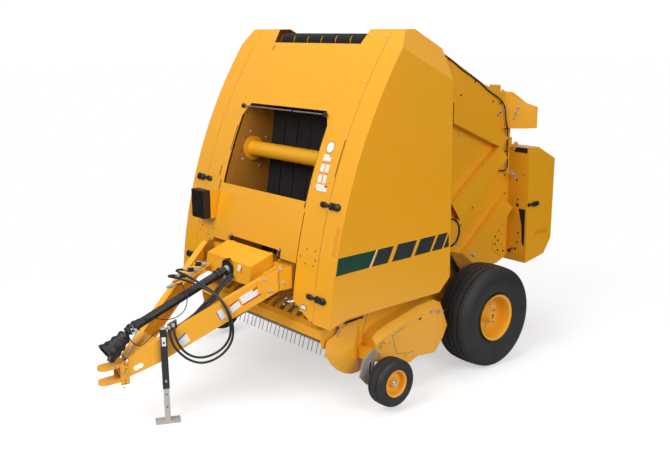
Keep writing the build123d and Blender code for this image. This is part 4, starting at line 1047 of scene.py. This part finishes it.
def make_end_plate_details():
    """The end plate's slot in painted shade and its seam lines, and the rimmed slot of the gauge wheel's leg,
    also in painted shade.
    """
    marks = Form()
    marks.slab(on_side(.9298, ((-1.622, .714), (-1.595, .736), (-1.391, .741), (-1.401, .722))),
        ACROSS * .0022)
    for path in ([(-1.348, .752), (-1.406, .588)], [(-1.425, .508), (-1.354, .359)],
            [(-1.7, .69), (-1.56, .705)]):
        lines(marks, on_side(.9303, path), ACROSS, .004)
    marks.slab(on_side(1.0995, ((-.905, .64), (-.872, .65), (-.868, .636), (-.9, .626))), ACROSS * .0016)
    marks.piece("end_plate_marks", "painted shade and seams", "pickup")
    Form().slab(on_side(1.1118, ((-1.474, .404), (-1.49, .404), (-1.5, .29), (-1.484, .29))),
        ACROSS * .0012).piece("gauge_leg_slot", "painted shade and seams", "pickup")
    Form().pipe(on_side(1.113, ((-1.47, .408), (-1.482, .413), (-1.494, .408), (-1.505, .292),
        (-1.494, .285), (-1.48, .29))), .003, 6, closed=True).piece("gauge_leg_slot_rim", "zinc plate",
        "pickup")


make_drive_guard()
make_end_plate_details()
make_pickup_fittings()


def make_tailgate_fittings():
    """Painted shade in holes and recesses, brackets, wings, latch, tape and small fittings of the tailgate,
    its box and its cylinder.
    """
    wall = .6253
    # Near-black discs: painted shade in the tailgate's holes
    put_discs("gate_side_holes", "painted shade and seams", "tailgate", facing(ACROSS,
        on_side(wall, ((.115, 2.474), (.579, 2.387), (.688, 2.271), (.772, 1.985), (.79, 1.64),
        (.795, 1.453), (.316, 1.376), (.152, 1.225)))), .01)
    bracket = Form()
    bracket.slab(on_side(wall - .001, ((.832, 1.3), (.628, 1.113), (.626, .904), (.748, .812),
        (.832, .812))), ACROSS * .0085)
    bracket.slab(on_side(wall - .001, ((.8, 1.92), (.852, 1.92), (.852, 2.02), (.82, 2.02))), ACROSS * .028)
    bracket.piece("gate_brackets", "yellow paint", "tailgate")
    put_discs("gate_bracket_holes", "painted shade and seams", "tailgate",
        facing(ACROSS, on_side(wall + .0075, ((.711, 1.084), (.709, .983), (.707, .882), (.793, .859),
        (.665, 1.03), (.665, .95), (.76, 1.14), (.8, 1.22)))), .012)
    put_bolts("gate_bolts", "zinc plate", "tailgate", facing(ACROSS,
        on_side(wall + .0075, ((.76, 1.05), (.76, .93)))) + facing(ACROSS,
        on_side(wall, ((.1, 2.1), (.4, 1.72), (.1, 1.05), (.79, 1.75)))), .02)
    for hand, name in HANDS:
        wing = Form()
        plan = [(.6258, .7, 2.5), (.6258, .76, 2.474), (.78, .897, 2.362), (.836, 1.0, 2.32)]
        rings = []
        for (x, y, high), (ox, oy) in zip(plan, ((.004, 0), (.004, -.0015), (.003, -.003), (.0035, -.002))):
            rings.append([at(x * hand, y, 2.112), at((x + ox) * hand, y + oy, 2.112),
                at((x + ox) * hand, y + oy, high), at(x * hand, y, high)])
        wing.loft(rings)
        wing.slab(on_side(.6202 * hand, ((.52, 2.5), (.524, 2.554), (.686, 2.54), (.69, 2.45))),
            ACROSS * .0046 * hand)
        wing.piece(name + "_light_wing", "yellow paint", "tailgate")
    box_low, box_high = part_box("box_end_cover")
    side = box_high.x
    Form().slab([Vector((side - .001, box_low.y + s, z)) for s, z in ((.135, 1.035), (.345, 1.035),
        (.345, 1.08), (.135, 1.08))], ACROSS * .0018).piece("cover_tape", "amber tape", "net_cover")
    for name, spans in (("cover_latch_handle", ((.034, .012, .016), (.055, .013, .018), (.066, .022, .024),
            (.09, .026, .03), (.135, .026, .03), (.16, .022, .024), (.172, .013, .014))),
            ("cover_latch_keeper", ((0.0, .012, .01), (.006, .019, .02), (.018, .02, .022),
            (.026, .014, .018), (.036, .011, .016)))):
        rings = []
        for s, half, thick in spans:
            rings.append([Vector((side + .0002 + thick / 2 * (1 + math.sin(a)), box_low.y + s,
                1.363 + half * math.cos(a))) for a in round_turn(12)])
        Form().loft(rings).piece(name, "black plastic", "net_cover", smooth=50)
    front = .8598
    back = Vector((0, -1, 0))
    Form().slab([at(x, front, z) for x, z in ((.7, 1.325), (.846, 1.325), (.846, 1.866), (.722, 1.866),
        (.7, 1.82))], back * .004).slab([at(x, front, z) for x, z in ((.634, 1.11), (.7, 1.295),
        (.758, 1.295), (.798, 1.15), (.812, .97), (.8, .845), (.66, .825), (.634, .9))],
        back * .006).piece("box_front_plates", "yellow paint", "tailgate")
    # Near-black patches of painted shadow: the recess under the box's top and the gap between bracket and
    # cover, and painted shade in the box front's holes
    painted_shadows = Form()
    painted_shadows.slab([at(x, front - .0044, z) for x, z in ((.69, 1.876), (.846, 1.876), (.846, 1.925),
        (.69, 1.925))], back * .0012)
    painted_shadows.slab([at(x, front - .0044, z) for x, z in ((.764, 1.312), (.846, 1.312), (.846, .93), (.818, .96),
        (.803, 1.15))], back * .0012)
    for x, z, size, over in ((.731, 1.595, .011, .004), (.75, 1.4, .01, .004), (.811, 1.655, .006, .004),
            (.747, 1.345, .02, .004), (.665, .86, .022, .006), (.7, .885, .013, .006),
            (.738, .892, .014, .006), (.771, 1.065, .011, .006), (.757, .965, .01, .006)):
        painted_shadows.disc(at(x, front - over, z), back, size)
    painted_shadows.piece("box_front_painted_shade", "painted shade and seams", "tailgate")
    fittings = Form()
    fittings.pipe([at(.7, .822, 2.215), at(.706, .826, 2.245), at(.716, .833, 2.285), at(.722, .84, 2.315)],
        .0065, 8)
    for x, y, z in ((.698, .818, 2.212), (.712, .829, 2.268), (.724, .839, 2.318)):
        fittings.turned(at(x, y, z), (.66, -.75, 0), [(0, .011), (.01, .011), (.013, .007)], 12)
    fittings.turned(at(.698, .862, 1.955), ACROSS, [(0, .014), (.016, .014), (.018, .009)], 16)
    Form().slab(on_side(.684, ((.842, 1.9), (.842, 1.966), (.85, 1.978), (.874, 1.978), (.882, 1.966),
        (.882, 1.9))), ACROSS * .014).piece("box_top_eye", "yellow paint", "tailgate")
    for place in (at(.735, .758, 1.7), at(.735, .8, 1.655)):
        fittings.turned(place, (0, .3, -1), [(0, .008), (.02, .008), (.022, .011), (.04, .011)], 12)
    for y, z in ((.655, 2.257), (.711, 2.289)):
        fittings.turned(at(.628, y, z), ACROSS, [(0, .012), (.012, .012), (.014, .008), (.022, .008)], 12)
    fittings.pipe([at(.66, .757, 1.704), at(.68, .8, 1.672), at(.7, .835, 1.66), at(.715, .858, 1.662)],
        .006, 8)
    fittings.piece("gate_fittings", "zinc plate", "tailgate")
    angles = [math.radians(-110 + 11 * k) for k in range(20)]
    Form().pipe([at(.85, -.24 + .117 * math.cos(a), 1.255 + .127 * math.sin(a)) for a in angles],
        .01, 10).piece("tension_hose", "hose rubber")
    cylinder_ends = Form()
    for y, z, size in ((.139, .964, .016), (.264, .851, .014), (.222, .799, .018)):
        cylinder_ends.turned(at(.79, y, z), ACROSS, [(0, size), (.03, size), (.034, size * .7)], 12)
    cylinder_ends.piece("tension_fittings", "zinc plate")
    Form().turned(at(.8, -.006, .828), ACROSS, [(0, .017), (.02, .017),
        (.026, .011)], 14).piece("grease_cap", "teal paint")


make_tailgate_fittings()


def make_cover_label():
    """The gearbox cover's blank label and the control box's grommet."""
    low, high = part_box("gearbox_cover")
    corners = [Vector((high.x - side, low.y + back, low.z + up))
        for side, back, up in ((.16, 0, .1), (.12, 0, .1), (.12, .012, .15), (.16, .012, .15))]
    put_plates("cover_label", "white film", "frame", [corners], (0, -1, 0), .0025)
    box_low, box_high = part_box("control_box")
    middle = (box_low + box_high) / 2
    Form().turned(Vector((middle.x - .03, middle.y, box_low.z - .012)), UP,
        [(0, .007), (.004, .01), (.02, .01)], 14).piece("control_box_grommet", "black plastic")


make_cover_label()


# Floor and light. The floor is lifted a little for the camera, and is white beyond the machine's shadow.
FLOOR_REACH = 60.0
FLOOR_LIFT = .5
WHITE_FROM = 2.6
WHITE_BY = 5.5
SEEN_WHITE = 1.05
SKY_GLOW = .34


def make_floor():
    """A very large pale floor that fades to white away from the machine."""
    form = bmesh.new()
    corners = [form.verts.new(Vector(corner) * FLOOR_REACH) for corner in ((-1, -1, 0), (1, -1, 0),
        (1, 1, 0), (-1, 1, 0))]
    form.faces.new(corners)
    mesh = bpy.data.meshes.new("floor")
    form.to_mesh(mesh)
    floor = stand("floor", mesh)
    material = bpy.data.materials.new("pale floor")
    material.use_nodes = True
    tree = material.node_tree
    tree.nodes.clear()
    place = add_node(tree, "TexCoord").outputs["Object"]
    away = add_node(tree, "VectorMath", {0: place}, operation="LENGTH").outputs["Value"]
    fade = add_node(tree, "MapRange", {"Value": away, "From Min": WHITE_FROM, "From Max": WHITE_BY},
        interpolation_type="SMOOTHSTEP")
    seen = add_node(tree, "LightPath").outputs["Is Camera Ray"]
    matt = add_node(tree, "BsdfDiffuse", {"Color": (.55, .55, .55, 1.0)})
    lift = add_node(tree, "Math", {0: seen, 1: FLOOR_LIFT}, operation="MULTIPLY")
    lifted = add_node(tree, "Emission", {"Color": (1, 1, 1, 1), "Strength": lift.outputs[0]})
    near = add_node(tree, "AddShader", {0: matt.outputs[0], 1: lifted.outputs[0]})
    white = add_node(tree, "Emission", {"Color": (1, 1, 1, 1), "Strength": seen})
    output = add_node(tree, "OutputMaterial")
    far_part = add_node(tree, "MixShader", {0: fade.outputs[0], 1: near.outputs[0], 2: white.outputs[0]})
    tree.links.new(far_part.outputs[0], output.inputs["Surface"])
    mesh.materials.append(material)


def area_light(name, place, target, size, power):
    """A large soft light that faces a point."""
    light = bpy.data.lights.new(name, "AREA")
    light.shape = "DISK"
    light.size = size
    light.energy = power
    made = stand(name, light)
    made.location = place
    made.rotation_euler = (Vector(target) - Vector(place)).to_track_quat("-Z", "Y").to_euler()


def light_the_studio():
    """White surroundings, and broad lights from the front, the side and above."""
    world = bpy.data.worlds.new("studio")
    bpy.context.scene.world = world
    world.use_nodes = True
    tree = world.node_tree
    tree.nodes.clear()
    seen = add_node(tree, "Background", {"Color": (1, 1, 1, 1), "Strength": SEEN_WHITE})
    glow = add_node(tree, "Background", {"Color": (1, 1, 1, 1), "Strength": SKY_GLOW})
    path = add_node(tree, "LightPath")
    both = add_node(tree, "MixShader", {0: path.outputs["Is Camera Ray"], 1: glow.outputs[0],
        2: seen.outputs[0]})
    output = add_node(tree, "OutputWorld")
    tree.links.new(both.outputs[0], output.inputs["Surface"])
    area_light("front light", (1.5, -9.0, 7.5), (0, -.4, 1.4), 7.0, 800)
    area_light("side light", (10.0, -1.0, 6.0), (0, .4, 1.4), 7.0, 570)
    area_light("top light", (-1.0, 1.0, 10.0), (0, .2, 1.0), 8.0, 400)
    bpy.context.scene.view_settings.view_transform = "Standard"


make_floor()
light_the_studio()
